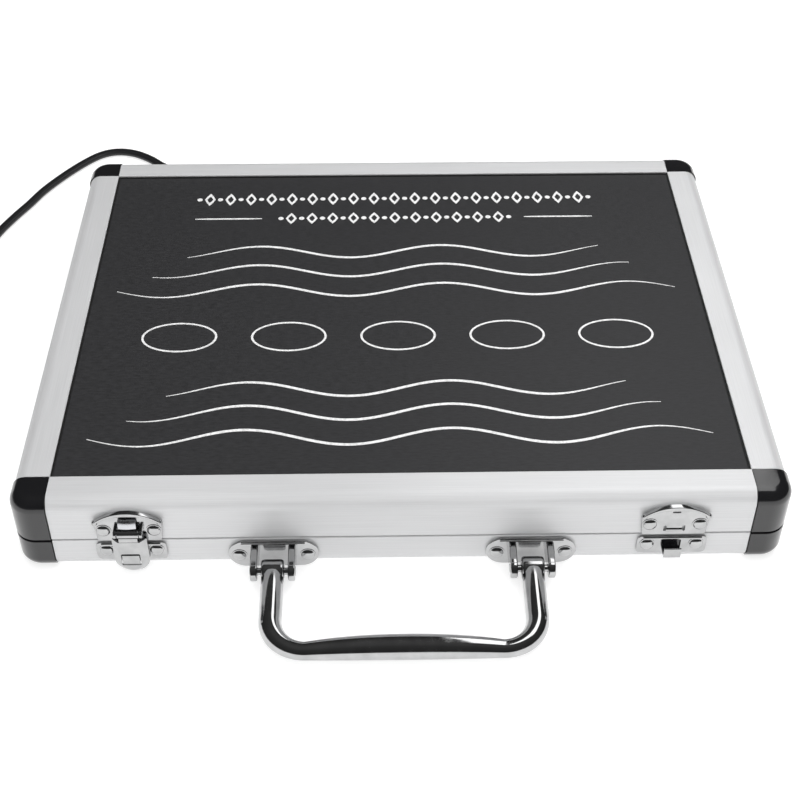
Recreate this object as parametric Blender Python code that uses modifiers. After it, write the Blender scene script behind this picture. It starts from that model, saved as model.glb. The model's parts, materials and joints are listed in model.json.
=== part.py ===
"""A slim aluminium-framed case that warms basalt massage stones.

The base holds the stones in a felt-faced tray over a heating mat. The lid swings up on two
butt hinges at the back, a hasp hangs from the left latch plate, and a bail handle is pinned to
two brackets on the front. The case lies flat: +Z is up, the handle points to -Y, and the origin
is the middle of the underside.
"""
import math

import bmesh
import bpy
from mathutils import Matrix, Vector

MM = 0.001

# Overall case
CASE_WIDTH = 332 * MM
CASE_DEPTH = 264 * MM
CASE_HEIGHT = 40 * MM
SEAM_HEIGHT = 17.4 * MM
SEAM_GAP = 0.8 * MM
GAP = 0.3 * MM

# Aluminium extrusions and corner blocks
BAND = 16 * MM
WALL = 1.6 * MM
LIP = 1.0 * MM
EDGE_ROUND = 6.5 * MM
CORNER_ROUND = 10 * MM
CORNER_EDGE_ROUND = 6 * MM
CORNER_PROUD = 0.6 * MM
TONGUE_LENGTH = 10 * MM
TONGUE_INSET = 4.6 * MM
TONGUE_WIDTH = 7.4 * MM
TONGUE_ROOT = 1 * MM
TONGUE_RIM_CLEARANCE = 2 * MM
TONGUE_FACE_CLEARANCE = 3.8 * MM

# Panels and what lies between them
PANEL_HOLD = 4 * MM
LID_PANEL_THICKNESS = 2.4 * MM
BOTTOM_PANEL_TOP = 3 * MM
LINING_THICKNESS = 6 * MM
LINING_MARGIN = 2 * MM
INSULATION_THICKNESS = 2 * MM
MAT_THICKNESS = 1 * MM
MAT_MARGIN = 0.6 * MM

# Massage stones: half length, half width, thickness
LARGE_STONE = (44 * MM, 31 * MM, 18 * MM)
MEDIUM_STONE = (31 * MM, 22 * MM, 16 * MM)
SMALL_STONE = (19 * MM, 14 * MM, 13 * MM)
POCKET_CLEARANCE = 1.2 * MM
LARGE_SPREAD = 98 * MM
MEDIUM_SPREAD = 105 * MM
SMALL_PITCH = 50 * MM
LARGE_ROW = 66 * MM
MEDIUM_ROW = -16 * MM
SMALL_ROW = -68 * MM

# Hinges
HINGE_INSET = 50 * MM
HINGE_RADIUS = 2.2 * MM
HINGE_OFFSET = 2.6 * MM
HINGE_LENGTH = 36 * MM
HINGE_KNUCKLE = 12 * MM
HINGE_LEAF_HEIGHT = 9 * MM
HINGE_LEAF_START = 2.6 * MM
HINGE_PIN_RADIUS = 0.9 * MM

# Latches
LATCH_INSET = 33.7 * MM
LATCH_WIDTH = 30 * MM
PLATE_THICKNESS = 1.0 * MM
LATCH_EAR_RISE = 11.9 * MM
LATCH_ARCH_RISE = 6 * MM
LATCH_RIM_WIDTH = 1.4 * MM
LATCH_RIM_DEPTH = 2.6 * MM
CATCH_HEIGHT = 10.1 * MM
CATCH_FOLD_DEPTH = 1.9 * MM
CATCH_FOLD_HEIGHT = 1.2 * MM
HOOK_WIDTH = 7.4 * MM
HOOK_REACH = 4.3 * MM
HOOK_RISE = 1.0 * MM
HOOK_HEIGHT = 5.6 * MM
HOOK_THICKNESS = 1.0 * MM

# Hasp of the left latch
HASP_AXIS_RISE = 6.5 * MM
HASP_BARREL_RADIUS = 1.9 * MM
HASP_BARREL_LENGTH = 9.2 * MM
HASP_BARREL_CLEARANCE = 0.4 * MM
HASP_PIN_RADIUS = 0.8 * MM
HASP_LUG_THICKNESS = 1.2 * MM
HASP_WIDTH = 15 * MM
HASP_FACE_WIDTH = 9.6 * MM
HASP_RIM_CLEARANCE = 1.0 * MM
HASP_DISH = 1.9 * MM
HASP_SHEET = 0.9 * MM
HASP_NECK_LENGTH = 3.0 * MM
HASP_NECK_WIDTH = 8.0 * MM
HASP_NECK_STEP = 0.1 * MM
HASP_TIP_LENGTH = 5.8 * MM
WINDOW_SIDE_CLEARANCE = 0.4 * MM
WINDOW_TOP_CLEARANCE = 0.8 * MM
WINDOW_BOTTOM_CLEARANCE = 0.6 * MM
SPRING_WIDTH = 7.6 * MM
SPRING_HEIGHT = 4.3 * MM
SPRING_CLEARANCE = 0.7 * MM
SPRING_THICKNESS = 0.6 * MM

# Handle and its brackets
BRACKET_SPREAD = 55.6 * MM
BRACKET_WIDTH = 39 * MM
BRACKET_BOTTOM = 1.1 * MM
BRACKET_SHEET = 1.2 * MM
EAR_GAP = 14.6 * MM
EAR_THICKNESS = 1.4 * MM
EAR_RADIUS = 4.2 * MM
HANDLE_AXIS_HEIGHT = 8.2 * MM
HANDLE_AXIS_OFFSET = 11 * MM
HANDLE_REACH = 41 * MM
HANDLE_DROP = 2.5 * MM
HANDLE_BEND = 15 * MM
HANDLE_STRAIGHT = 12 * MM
LEG_RADIUS = 4.9 * MM
GRIP_END_RADIUS = 3.9 * MM
GRIP_RADIUS = 5.4 * MM
GRIP_SWELL = ((0.62, 0.62), (0.3, 0.93))
HANDLE_PIN_RADIUS = 1.6 * MM
HANDLE_PIN_HEAD = 2.8 * MM
HANDLE_PIN_HEAD_LENGTH = 1.1 * MM

# Mains lead
CORD_RADIUS = 2.5 * MM
RELIEF_INSET = 22 * MM
RELIEF_HEIGHT = 11 * MM
RELIEF_COLLAR = 4.2 * MM
RELIEF_SHANK = 2.9 * MM
RELIEF_COLLAR_LENGTH = 2 * MM
RELIEF_COLLAR_STEP = 0.6 * MM
RELIEF_FILLET = 0.4 * MM
RELIEF_TIP_WALL = 0.3 * MM
RELIEF_LENGTH = 30 * MM
RELIEF_TAIL = 0.8 * MM
COIL_CENTRE = (-272 * MM, 62 * MM)
COIL_INNER = 22.5 * MM
COIL_OUTER = 39 * MM
COIL_BOTTOM = 1.4 * MM
COIL_TOP = 9.4 * MM
TIE_WIDTH = 8 * MM
TIE_THICKNESS = 0.8 * MM
PLUG_TURN = 20
PLUG_LENGTH = 30 * MM
PLUG_WIDTH = 17 * MM
PLUG_HEIGHT = 11 * MM
PLUG_TAIL = 22 * MM
PLUG_TAIL_FLARE = 1.5 * MM
PLUG_ROOT = 2 * MM
PRONG_LENGTH = 17 * MM
PRONG_RADIUS = 2 * MM
PRONG_SPREAD = 6 * MM
THERMOSTAT_SIZE = (22 * MM, 10 * MM, 6 * MM)
THERMOSTAT_MARGIN = 0.6 * MM

# The free stretch of the lead, from the strain relief to the coil, in metres
CORD_ROUTE = [
    (-0.1280, 0.1631, 0.0110),
    (-0.1280, 0.1690, 0.0103),
    (-0.1291, 0.1745, 0.0066),
    (-0.1330, 0.1808, 0.0037),
    (-0.1386, 0.1864, 0.0028),
    (-0.1460, 0.1935, 0.0028),
    (-0.1556, 0.1996, 0.0028),
    (-0.1653, 0.2017, 0.0028),
    (-0.1742, 0.1993, 0.0028),
    (-0.1823, 0.1922, 0.0028),
    (-0.1927, 0.1787, 0.0028),
    (-0.2035, 0.1611, 0.0028),
    (-0.2099, 0.1467, 0.0028),
    (-0.2166, 0.1327, 0.0028),
    (-0.2225, 0.1182, 0.0028),
    (-0.2270, 0.1020, 0.0028),
    (-0.2298, 0.0840, 0.0028),
    (-0.2301, 0.0640, 0.0028),
]

# Places that follow from the sizes
HALF_WIDTH = CASE_WIDTH / 2
HALF_DEPTH = CASE_DEPTH / 2
OPEN_X = HALF_WIDTH - BAND
OPEN_Y = HALF_DEPTH - BAND
BASE_RIM = SEAM_HEIGHT - SEAM_GAP / 2
LID_RIM = SEAM_HEIGHT + SEAM_GAP / 2
FRONT = -HALF_DEPTH
PLATE_BACK = FRONT - GAP
PLATE_FRONT = PLATE_BACK - PLATE_THICKNESS
LID_PANEL_TOP = CASE_HEIGHT - LIP - GAP
LID_PANEL_BOTTOM = LID_PANEL_TOP - LID_PANEL_THICKNESS
MAT_BOTTOM = BOTTOM_PANEL_TOP + GAP + INSULATION_THICKNESS + GAP
MAT_TOP = MAT_BOTTOM + MAT_THICKNESS
TRAY_BOTTOM = MAT_TOP + GAP
THERMOSTAT_Y = HALF_DEPTH - WALL - RELIEF_TAIL - GAP - THERMOSTAT_SIZE[1] / 2
HINGE_SPREAD = OPEN_X - HINGE_INSET
RELIEF_X = RELIEF_INSET - OPEN_X
HINGE_AXIS = (0, HALF_DEPTH + HINGE_OFFSET, SEAM_HEIGHT)
LATCH_SPREAD = OPEN_X - LATCH_INSET
LATCH_PLATE_BOTTOM = LID_RIM + GAP
LATCH_EAR_HEIGHT = LATCH_PLATE_BOTTOM + LATCH_EAR_RISE
CATCH_TOP = BASE_RIM - GAP
CATCH_BOTTOM = CATCH_TOP - CATCH_HEIGHT
HOOK_BOTTOM = CATCH_BOTTOM + HOOK_RISE
HOOK_TOP = HOOK_BOTTOM + HOOK_HEIGHT
HASP_AXIS_HEIGHT = LATCH_PLATE_BOTTOM + HASP_AXIS_RISE
HASP_AXIS = (-LATCH_SPREAD, PLATE_FRONT - HASP_BARREL_CLEARANCE - HASP_BARREL_RADIUS, HASP_AXIS_HEIGHT)
HASP_RIM_Y = PLATE_BACK - CATCH_FOLD_DEPTH - HASP_RIM_CLEARANCE
HASP_FACE_Y = HASP_RIM_Y - HASP_DISH
HASP_TOP = HASP_AXIS_HEIGHT - HASP_NECK_LENGTH
WINDOW_WIDTH = HOOK_WIDTH + 2 * WINDOW_SIDE_CLEARANCE
WINDOW_TOP = HOOK_TOP + WINDOW_TOP_CLEARANCE
WINDOW_BOTTOM = HOOK_BOTTOM - WINDOW_BOTTOM_CLEARANCE
HASP_TIP = WINDOW_BOTTOM - HASP_TIP_LENGTH
SPRING_BOTTOM = HASP_AXIS_HEIGHT + HASP_BARREL_RADIUS + SPRING_CLEARANCE
SPRING_TOP = SPRING_BOTTOM + SPRING_HEIGHT
BRACKET_TOP = BASE_RIM - GAP
HANDLE_AXIS = (0, FRONT - HANDLE_AXIS_OFFSET, HANDLE_AXIS_HEIGHT)

# Turns a flat outline so that its extrusion runs along X, Y or Z
TURNS = {
    "X": Matrix(((0, 0, 1), (1, 0, 0), (0, 1, 0))),
    "Y": Matrix(((1, 0, 0), (0, 0, -1), (0, 1, 0))),
    "Z": Matrix.Identity(3),
}

for old in list(bpy.data.objects):
    bpy.data.objects.remove(old, do_unlink=True)

case_parts = bpy.data.collections.new("hot_stone_case")
bpy.context.scene.collection.children.link(case_parts)


def material(name, colour, roughness, metallic=0.0):
    """A Principled material for one finish."""
    finish = bpy.data.materials.new(name)
    finish.use_nodes = True
    shader = finish.node_tree.nodes["Principled BSDF"]
    shader.inputs["Base Color"].default_value = (*colour, 1.0)
    shader.inputs["Roughness"].default_value = roughness
    shader.inputs["Metallic"].default_value = metallic
    finish.diffuse_color = (*colour, 1.0)
    return finish


ALUMINIUM = material("satin_aluminium", (0.78, 0.79, 0.80), 0.35, 1.0)
BLACK_GLOSS = material("black_corner_plastic", (0.012, 0.012, 0.013), 0.18)
PANEL_FACE = material("dark_lid_board", (0.045, 0.046, 0.049), 0.5)
BOARD = material("base_board", (0.03, 0.03, 0.03), 0.7)
FOIL_BOARD = material("insulation", (0.62, 0.62, 0.60), 0.6)
HEATER = material("heating_mat", (0.35, 0.12, 0.07), 0.6)
FELT = material("tray_felt", (0.035, 0.036, 0.04), 0.95)
FOAM = material("lid_foam", (0.05, 0.05, 0.055), 0.95)
BASALT = material("basalt", (0.035, 0.037, 0.040), 0.45)
CHROME = material("chrome", (0.80, 0.80, 0.82), 0.08, 1.0)
STEEL = material("zinc_steel", (0.62, 0.63, 0.65), 0.3, 1.0)
LEAD_BLACK = material("lead_pvc", (0.015, 0.015, 0.016), 0.4)
TIE_BLACK = material("tie_strap", (0.02, 0.02, 0.02), 0.8)
HOUSING = material("thermostat_housing", (0.75, 0.73, 0.68), 0.5)


def settle(shape):
    """Turn a curve or a modified object into a plain mesh object with its caps welded."""
    bpy.context.view_layer.update()
    depsgraph = bpy.context.evaluated_depsgraph_get()
    mesh = bpy.data.meshes.new_from_object(shape.evaluated_get(depsgraph))
    cage = bmesh.new()
    cage.from_mesh(mesh)
    bmesh.ops.remove_doubles(cage, verts=cage.verts, dist=0.000002)
    cage.to_mesh(mesh)
    cage.free()
    name = shape.name
    place = shape.matrix_world.copy()
    bpy.data.objects.remove(shape, do_unlink=True)
    solid = bpy.data.objects.new(name, mesh)
    solid.matrix_world = place
    case_parts.objects.link(solid)
    return solid


def finish(solid, surface):
    """Give a piece its material and smooth shading with sharp corners kept."""
    solid.data.materials.clear()
    solid.data.materials.append(surface)
    solid.data.shade_smooth()
    solid.data.set_sharp_from_angle(angle=math.radians(35))
    return solid


def combine(solid, tool, operation):
    """Join another solid to a piece, or cut it away, and drop that other solid."""
    step = solid.modifiers.new(operation.lower(), "BOOLEAN")
    step.operation = operation
    step.solver = "EXACT"
    step.object = tool
    result = settle(solid)
    bpy.data.objects.remove(tool, do_unlink=True)
    return result


def arc(centre, radius, first, last, steps):
    """Points round part of a circle, between two angles in degrees."""
    angles = [math.radians(first + (last - first) * i / steps) for i in range(steps + 1)]
    return [(centre[0] + radius * math.cos(a), centre[1] + radius * math.sin(a)) for a in angles]


def ring(centre, radius, steps):
    """A full circle as a closed outline."""
    return arc(centre, radius, 0, 360 - 360 / steps, steps - 1)


def rectangle(x0, y0, x1, y1):
    """A closed rectangular outline."""
    return [(x0, y0), (x1, y0), (x1, y1), (x0, y1)]


def four_corners(quadrant):
    """A closed outline from the points of its first quadrant, mirrored to the other three."""
    second = [(-x, y) for x, y in reversed(quadrant)]
    third = [(-x, -y) for x, y in quadrant]
    fourth = [(x, -y) for x, y in reversed(quadrant)]
    return quadrant + second + third + fourth


def prism(name, outlines, depth, along, at=(0, 0, 0)):
    """Extrude closed flat outlines by depth along one axis; an inner outline is a hole."""
    curve = bpy.data.curves.new(name, "CURVE")
    curve.dimensions = "2D"
    curve.fill_mode = "BOTH"
    curve.extrude = depth / 2
    for outline in outlines:
        spline = curve.splines.new("POLY")
        spline.points.add(len(outline) - 1)
        for point, (x, y) in zip(spline.points, outline):
            point.co = (x, y, 0, 1)
        spline.use_cyclic_u = True
    shape = bpy.data.objects.new(name, curve)
    shape.matrix_world = Matrix.Translation(at) @ TURNS[along].to_4x4()
    case_parts.objects.link(shape)
    return settle(shape)


def block(name, size, at):
    """A box of the given size with its middle at a point."""
    mesh = bpy.data.meshes.new(name)
    cage = bmesh.new()
    bmesh.ops.create_cube(cage, size=1)
    bmesh.ops.scale(cage, vec=size, verts=cage.verts)
    cage.to_mesh(mesh)
    cage.free()
    solid = bpy.data.objects.new(name, mesh)
    solid.location = at
    case_parts.objects.link(solid)
    return solid


def rod(name, radius, length, along, at, sides=16):
    """A round bar with its middle at a point."""
    return prism(name, [ring((0, 0), radius, sides)], length, along, at)


def turned(name, profile, along, at, steps=16):
    """A turned solid from radius and height pairs that run from the top down the outer side."""
    mesh = bpy.data.meshes.new(name)
    cage = bmesh.new()
    points = [cage.verts.new((r, 0, z)) for r, z in profile]
    for first, second in zip(points, points[1:]):
        cage.edges.new((first, second))
    cage.to_mesh(mesh)
    cage.free()
    shape = bpy.data.objects.new(name, mesh)
    shape.matrix_world = Matrix.Translation(at) @ TURNS[along].to_4x4()
    case_parts.objects.link(shape)
    screw = shape.modifiers.new("turn", "SCREW")
    screw.axis = "Z"
    screw.steps = steps
    screw.render_steps = steps
    screw.use_merge_vertices = True
    screw.merge_threshold = 0.00001
    return settle(shape)


def tube(name, points, radii, resolution=2):
    """A round bar along a line of points, with its own radius at each point."""
    curve = bpy.data.curves.new(name, "CURVE")
    curve.dimensions = "3D"
    curve.bevel_depth = 1
    curve.bevel_resolution = resolution
    curve.use_fill_caps = True
    spline = curve.splines.new("POLY")
    spline.points.add(len(points) - 1)
    for point, place, radius in zip(spline.points, points, radii):
        point.co = (*place, 1)
        point.radius = radius
    shape = bpy.data.objects.new(name, curve)
    case_parts.objects.link(shape)
    return settle(shape)


def smooth_route(points, spacing):
    """Points at an even spacing on a Catmull-Rom curve through a route's own points."""
    ends = [2 * Vector(points[0]) - Vector(points[1]), 2 * Vector(points[-1]) - Vector(points[-2])]
    guide = [ends[0], *[Vector(p) for p in points], ends[1]]
    fine = []
    for p0, p1, p2, p3 in zip(guide, guide[1:], guide[2:], guide[3:]):
        for i in range(12):
            t = i / 12
            fine.append(0.5 * (2 * p1 + (p2 - p0) * t + (2 * p0 - 5 * p1 + 4 * p2 - p3) * t * t
                               + (3 * p1 - p0 - 3 * p2 + p3) * t ** 3))
    fine.append(guide[-2])
    run = [0.0]
    for first, second in zip(fine, fine[1:]):
        run.append(run[-1] + (second - first).length)
    count = max(2, round(run[-1] / spacing))
    result = []
    index = 0
    for i in range(count + 1):
        wanted = run[-1] * i / count
        while index < len(run) - 2 and run[index + 1] < wanted:
            index += 1
        share = (wanted - run[index]) / (run[index + 1] - run[index])
        result.append(fine[index].lerp(fine[index + 1], share))
    return result


def move_origin(solid, point):
    """Put a piece's origin on a point, such as its joint's axis, and leave its shape in place."""
    solid.data.transform(Matrix.Translation(-Vector(point)) @ solid.matrix_world)
    solid.matrix_world = Matrix.Translation(point)
    return solid


def empty_at(name, point):
    """An empty that marks a joint's axis."""
    marker = bpy.data.objects.new(name, None)
    marker.location = point
    case_parts.objects.link(marker)
    bpy.context.view_layer.update()
    return marker


def hang_on(parent, pieces):
    """Parent pieces to an axis and keep them where they are."""
    bpy.context.view_layer.update()
    for piece in pieces:
        piece.parent = parent
        piece.matrix_parent_inverse = parent.matrix_world.inverted()


def extrusion_profile(side, opening, rim, outer):
    """Section of one extrusion: side is its outward direction, rim its seam edge, outer its flat face."""
    up = 1 if outer > rim else -1
    bend = BAND - EDGE_ROUND
    middle = outer - up * EDGE_ROUND
    outside = arc((bend, 0), EDGE_ROUND, 0, 90, 6)
    inside = arc((bend, 0), EDGE_ROUND - WALL, 90, 0, 4)
    points = [(BAND, rim)]
    points += [(x, middle + up * z) for x, z in outside]
    points += [(0, outer), (0, outer - up * LIP), (bend, outer - up * LIP)]
    points += [(x, middle + up * z) for x, z in inside]
    points.append((BAND - WALL, rim))
    return [(side * (opening + x), z) for x, z in points]


def make_frame(prefix, rim, outer):
    """The four extrusions of one half of the case."""
    bars = {}
    for name, side in (("front", -1), ("back", 1)):
        section = extrusion_profile(side, OPEN_Y, rim, outer)
        bars[name] = prism(f"{prefix}_frame_{name}", [section], 2 * OPEN_X, "X")
    for name, side in (("left", -1), ("right", 1)):
        section = extrusion_profile(side, OPEN_X, rim, outer)
        bars[name] = prism(f"{prefix}_frame_{name}", [section], 2 * OPEN_Y, "Y")
    return bars


def corner_mesh(name, rim, outer):
    """One moulded corner block with its two tongues; its inner upright edge is on its own Z axis."""
    side = BAND - GAP + CORNER_PROUD
    low = min(rim, outer)
    height = abs(outer - rim)
    mesh = bpy.data.meshes.new(name)
    cage = bmesh.new()
    bmesh.ops.create_cube(cage, size=1)
    bmesh.ops.scale(cage, vec=(side, side, height), verts=cage.verts)
    bmesh.ops.translate(cage, vec=(side / 2, side / 2, low + height / 2), verts=cage.verts)
    near = GAP / 10
    outer_corner = side - near
    upright = [e for e in cage.edges if all(min(v.co.x, v.co.y) > outer_corner for v in e.verts)]
    bmesh.ops.bevel(cage, geom=upright, offset=CORNER_ROUND, segments=6, profile=0.5, affect="EDGES")
    rounded = []
    for edge in cage.edges:
        level = all(abs(v.co.z - outer) < near for v in edge.verts)
        inner = all(v.co.x < near for v in edge.verts) or all(v.co.y < near for v in edge.verts)
        if level and not inner:
            rounded.append(edge)
    bmesh.ops.bevel(cage, geom=rounded, offset=CORNER_EDGE_ROUND, segments=4, profile=0.5, affect="EDGES")
    cage.to_mesh(mesh)
    cage.free()
    solid = bpy.data.objects.new(name, mesh)
    case_parts.objects.link(solid)
    up = 1 if outer > rim else -1
    tongue_height = height - TONGUE_RIM_CLEARANCE - TONGUE_FACE_CLEARANCE
    middle = rim + up * (TONGUE_RIM_CLEARANCE + tongue_height / 2)
    across = TONGUE_INSET + TONGUE_WIDTH / 2 - GAP
    length = TONGUE_LENGTH + TONGUE_ROOT
    back = TONGUE_ROOT - length / 2
    along_x = block("tongue", (length, TONGUE_WIDTH, tongue_height), (back, across, middle))
    solid = combine(solid, along_x, "UNION")
    along_y = block("tongue", (TONGUE_WIDTH, length, tongue_height), (across, back, middle))
    return combine(solid, along_y, "UNION")


def make_corners(prefix, rim, outer):
    """The four corner blocks of one half, sharing one mesh and turned in quarter turns."""
    places = (("back_right", 1, 1, 0), ("back_left", -1, 1, 90), ("front_left", -1, -1, 180),
              ("front_right", 1, -1, 270))
    pattern = corner_mesh(f"{prefix}_corner_pattern", rim, outer)
    finish(pattern, BLACK_GLOSS)
    shared = pattern.data
    bpy.data.objects.remove(pattern, do_unlink=True)
    corners = []
    for name, side_x, side_y, turn in places:
        corner = bpy.data.objects.new(f"{prefix}_corner_{name}", shared)
        corner.location = (side_x * (OPEN_X + GAP), side_y * (OPEN_Y + GAP), 0)
        corner.rotation_euler = (0, 0, math.radians(turn))
        case_parts.objects.link(corner)
        corners.append(corner)
    return corners


def held_outline():
    """Outline of a board whose edges sit under the extrusions' lips, clear of the corner blocks."""
    long_side = (OPEN_X + PANEL_HOLD, OPEN_Y - PANEL_HOLD)
    short_side = (OPEN_X - PANEL_HOLD, OPEN_Y + PANEL_HOLD)
    return four_corners([long_side, short_side])


def make_panels():
    """The printed lid board and the rebated bottom board."""
    middle = LID_PANEL_TOP - LID_PANEL_THICKNESS / 2
    lid = prism("lid_panel", [held_outline()], LID_PANEL_THICKNESS, "Z", (0, 0, middle))
    held_bottom = LIP + GAP
    bottom = prism("bottom_panel", [held_outline()], BOTTOM_PANEL_TOP, "Z", (0, 0, BOTTOM_PANEL_TOP / 2))
    step = [(OPEN_X - GAP, OPEN_Y - GAP)]
    beyond = [(CASE_WIDTH, CASE_DEPTH)]
    rebate = prism("rebate", [four_corners(beyond), four_corners(step)], 2 * held_bottom, "Z")
    bottom = combine(bottom, rebate, "DIFFERENCE")
    return finish(lid, PANEL_FACE), finish(bottom, BOARD)


def make_heater():
    """Insulation board and heating mat under the tray, and the thermostat that the lead ends in."""
    size = (2 * (OPEN_X - MAT_MARGIN), 2 * (OPEN_Y - MAT_MARGIN))
    board_middle = BOTTOM_PANEL_TOP + GAP + INSULATION_THICKNESS / 2
    finish(block("insulation_board", (*size, INSULATION_THICKNESS), (0, 0, board_middle)), FOIL_BOARD)
    finish(block("heating_mat", (*size, MAT_THICKNESS), (0, 0, MAT_BOTTOM + MAT_THICKNESS / 2)), HEATER)
    finish(block("thermostat", THERMOSTAT_SIZE, (RELIEF_X, THERMOSTAT_Y, RELIEF_HEIGHT)), HOUSING)


def stone_places():
    """Each stone's name, half length, half width, thickness and middle in plan."""
    places = [(f"stone_large_{name}", LARGE_STONE, x, LARGE_ROW)
              for name, x in (("left", -LARGE_SPREAD), ("right", LARGE_SPREAD))]
    row = [(-MEDIUM_SPREAD, "1"), (-MEDIUM_SPREAD / 3, "2"), (MEDIUM_SPREAD / 3, "3"), (MEDIUM_SPREAD, "4")]
    places += [(f"stone_medium_{name}", MEDIUM_STONE, x, MEDIUM_ROW) for x, name in row]
    for i in range(6):
        places.append((f"stone_small_{i + 1}", SMALL_STONE, (i - 2.5) * SMALL_PITCH, SMALL_ROW))
    return places


def make_tray():
    """The foam stone tray: one pocket right through it for each stone, and room for the thermostat."""
    edge_x = HALF_WIDTH - WALL - GAP
    edge_y = HALF_DEPTH - WALL - GAP
    top = BASE_RIM - 2 * GAP
    depth = top - TRAY_BOTTOM
    middle = TRAY_BOTTOM + depth / 2
    tray = block("stone_tray", (2 * edge_x, 2 * edge_y, depth), (0, 0, middle))
    tongue = TONGUE_LENGTH + GAP
    for inner_x, inner_y in ((OPEN_X - tongue, OPEN_Y - GAP), (OPEN_X - GAP, OPEN_Y - tongue)):
        for side_x, side_y in ((1, 1), (-1, 1), (-1, -1), (1, -1)):
            size = (CASE_WIDTH - inner_x, CASE_DEPTH - inner_y, CASE_HEIGHT)
            place = (side_x * (inner_x + size[0] / 2), side_y * (inner_y + size[1] / 2), 0)
            tray = combine(tray, block("corner_room", size, place), "DIFFERENCE")
    for _, (half_long, half_wide, _), x, y in stone_places():
        outline = [((half_long + POCKET_CLEARANCE) * u, (half_wide + POCKET_CLEARANCE) * v)
                   for u, v in ring((0, 0), 1, 24)]
        tray = combine(tray, prism("pocket", [outline], CASE_HEIGHT, "Z", (x, y, 0)), "DIFFERENCE")
    room_top = RELIEF_HEIGHT + THERMOSTAT_SIZE[2] / 2 + THERMOSTAT_MARGIN
    room_front = THERMOSTAT_Y - THERMOSTAT_SIZE[1] / 2 - THERMOSTAT_MARGIN
    room_size = (THERMOSTAT_SIZE[0] + 2 * THERMOSTAT_MARGIN, HALF_DEPTH - room_front, room_top)
    room = block("thermostat_room", room_size, (RELIEF_X, room_front + room_size[1] / 2, room_top / 2))
    return finish(combine(tray, room, "DIFFERENCE"), FELT)


def make_stones():
    """Smooth flattened stones that lie on the heating mat, one in each pocket."""
    for name, (half_long, half_wide, thick), x, y in stone_places():
        mesh = bpy.data.meshes.new(name)
        cage = bmesh.new()
        bmesh.ops.create_uvsphere(cage, u_segments=16, v_segments=8, radius=1)
        bmesh.ops.scale(cage, vec=(half_long, half_wide, thick / 2), verts=cage.verts)
        cage.to_mesh(mesh)
        cage.free()
        stone = bpy.data.objects.new(name, mesh)
        stone.location = (x, y, MAT_TOP + GAP + thick / 2)
        case_parts.objects.link(stone)
        finish(stone, BASALT)


def make_lining():
    """The foam pad glued under the lid board."""
    size = (2 * (OPEN_X - LINING_MARGIN), 2 * (OPEN_Y - LINING_MARGIN), LINING_THICKNESS)
    middle = LID_PANEL_BOTTOM - GAP - LINING_THICKNESS / 2
    return finish(block("lid_lining", size, (0, 0, middle)), FOAM)


def hinge_leaf(name, x, up, knuckles):
    """One leaf of a butt hinge with its own knuckles; up is 1 for the lid's leaf, -1 for the base's."""
    y = HALF_DEPTH + GAP + PLATE_THICKNESS / 2
    near = SEAM_HEIGHT + up * HINGE_LEAF_START
    far = near + up * HINGE_LEAF_HEIGHT
    outline = rectangle(-HINGE_LENGTH / 2, min(near, far), HINGE_LENGTH / 2, max(near, far))
    leaf = prism(name, [outline], PLATE_THICKNESS, "Y", (x, y, 0))
    for start, end in knuckles:
        middle = x + (start + end) / 2
        tab_low = min(SEAM_HEIGHT, near + up * PLATE_THICKNESS)
        tab_high = max(SEAM_HEIGHT, near + up * PLATE_THICKNESS)
        tab_size = (end - start, PLATE_THICKNESS, tab_high - tab_low)
        tab = block("tab", tab_size, (middle, y, (tab_low + tab_high) / 2))
        leaf = combine(leaf, tab, "UNION")
        barrel = rod("barrel", HINGE_RADIUS, end - start, "X", (middle, HINGE_AXIS[1], SEAM_HEIGHT), 14)
        leaf = combine(leaf, barrel, "UNION")
    bore = rod("bore", HINGE_PIN_RADIUS + GAP, 2 * HINGE_LENGTH, "X", (x, HINGE_AXIS[1], SEAM_HEIGHT), 12)
    return finish(combine(leaf, bore, "DIFFERENCE"), STEEL)


def make_hinges():
    """Two butt hinges: the base leaf has the outer knuckles, the lid leaf the middle one."""
    half = HINGE_LENGTH / 2
    inner = half - HINGE_KNUCKLE
    lid_leaves = []
    for side, x in (("left", -HINGE_SPREAD), ("right", HINGE_SPREAD)):
        hinge_leaf(f"hinge_leaf_base_{side}", x, -1, ((-half, -inner), (inner, half)))
        lid_leaves.append(hinge_leaf(f"hinge_leaf_lid_{side}", x, 1, ((-inner + GAP, inner - GAP),)))
        pin_place = (x, HINGE_AXIS[1], SEAM_HEIGHT)
        finish(rod(f"hinge_pin_{side}", HINGE_PIN_RADIUS, HINGE_LENGTH, "X", pin_place, 12), STEEL)
    return lid_leaves


def latch_arch(inset):
    """The arched top edge of a latch plate, moved in by an amount."""
    half = LATCH_WIDTH / 2
    radius = (half ** 2 + LATCH_ARCH_RISE ** 2) / (2 * LATCH_ARCH_RISE)
    spread = math.degrees(math.asin(half / radius))
    centre = (0, LATCH_EAR_HEIGHT + LATCH_ARCH_RISE - radius)
    return arc(centre, radius - inset, 90 - spread, 90 + spread, 12)


def latch_plate(side, x):
    """The lid's half of a latch: a plate with an arched rim that stands proud."""
    half = LATCH_WIDTH / 2
    outline = [(-half + LATCH_RIM_WIDTH, LATCH_PLATE_BOTTOM), (half - LATCH_RIM_WIDTH, LATCH_PLATE_BOTTOM)]
    outline += latch_arch(LATCH_RIM_WIDTH / 2)
    middle = PLATE_BACK - PLATE_THICKNESS / 2
    plate = prism(f"latch_plate_{side}", [outline], PLATE_THICKNESS, "Y", (x, middle, 0))
    rim = latch_arch(0) + latch_arch(LATCH_RIM_WIDTH)[::-1]
    rim_depth = LATCH_RIM_DEPTH - PLATE_THICKNESS / 2
    rim = prism("rim", [rim], rim_depth, "Y", (x, middle - rim_depth / 2, 0))
    return combine(plate, rim, "UNION")


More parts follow.
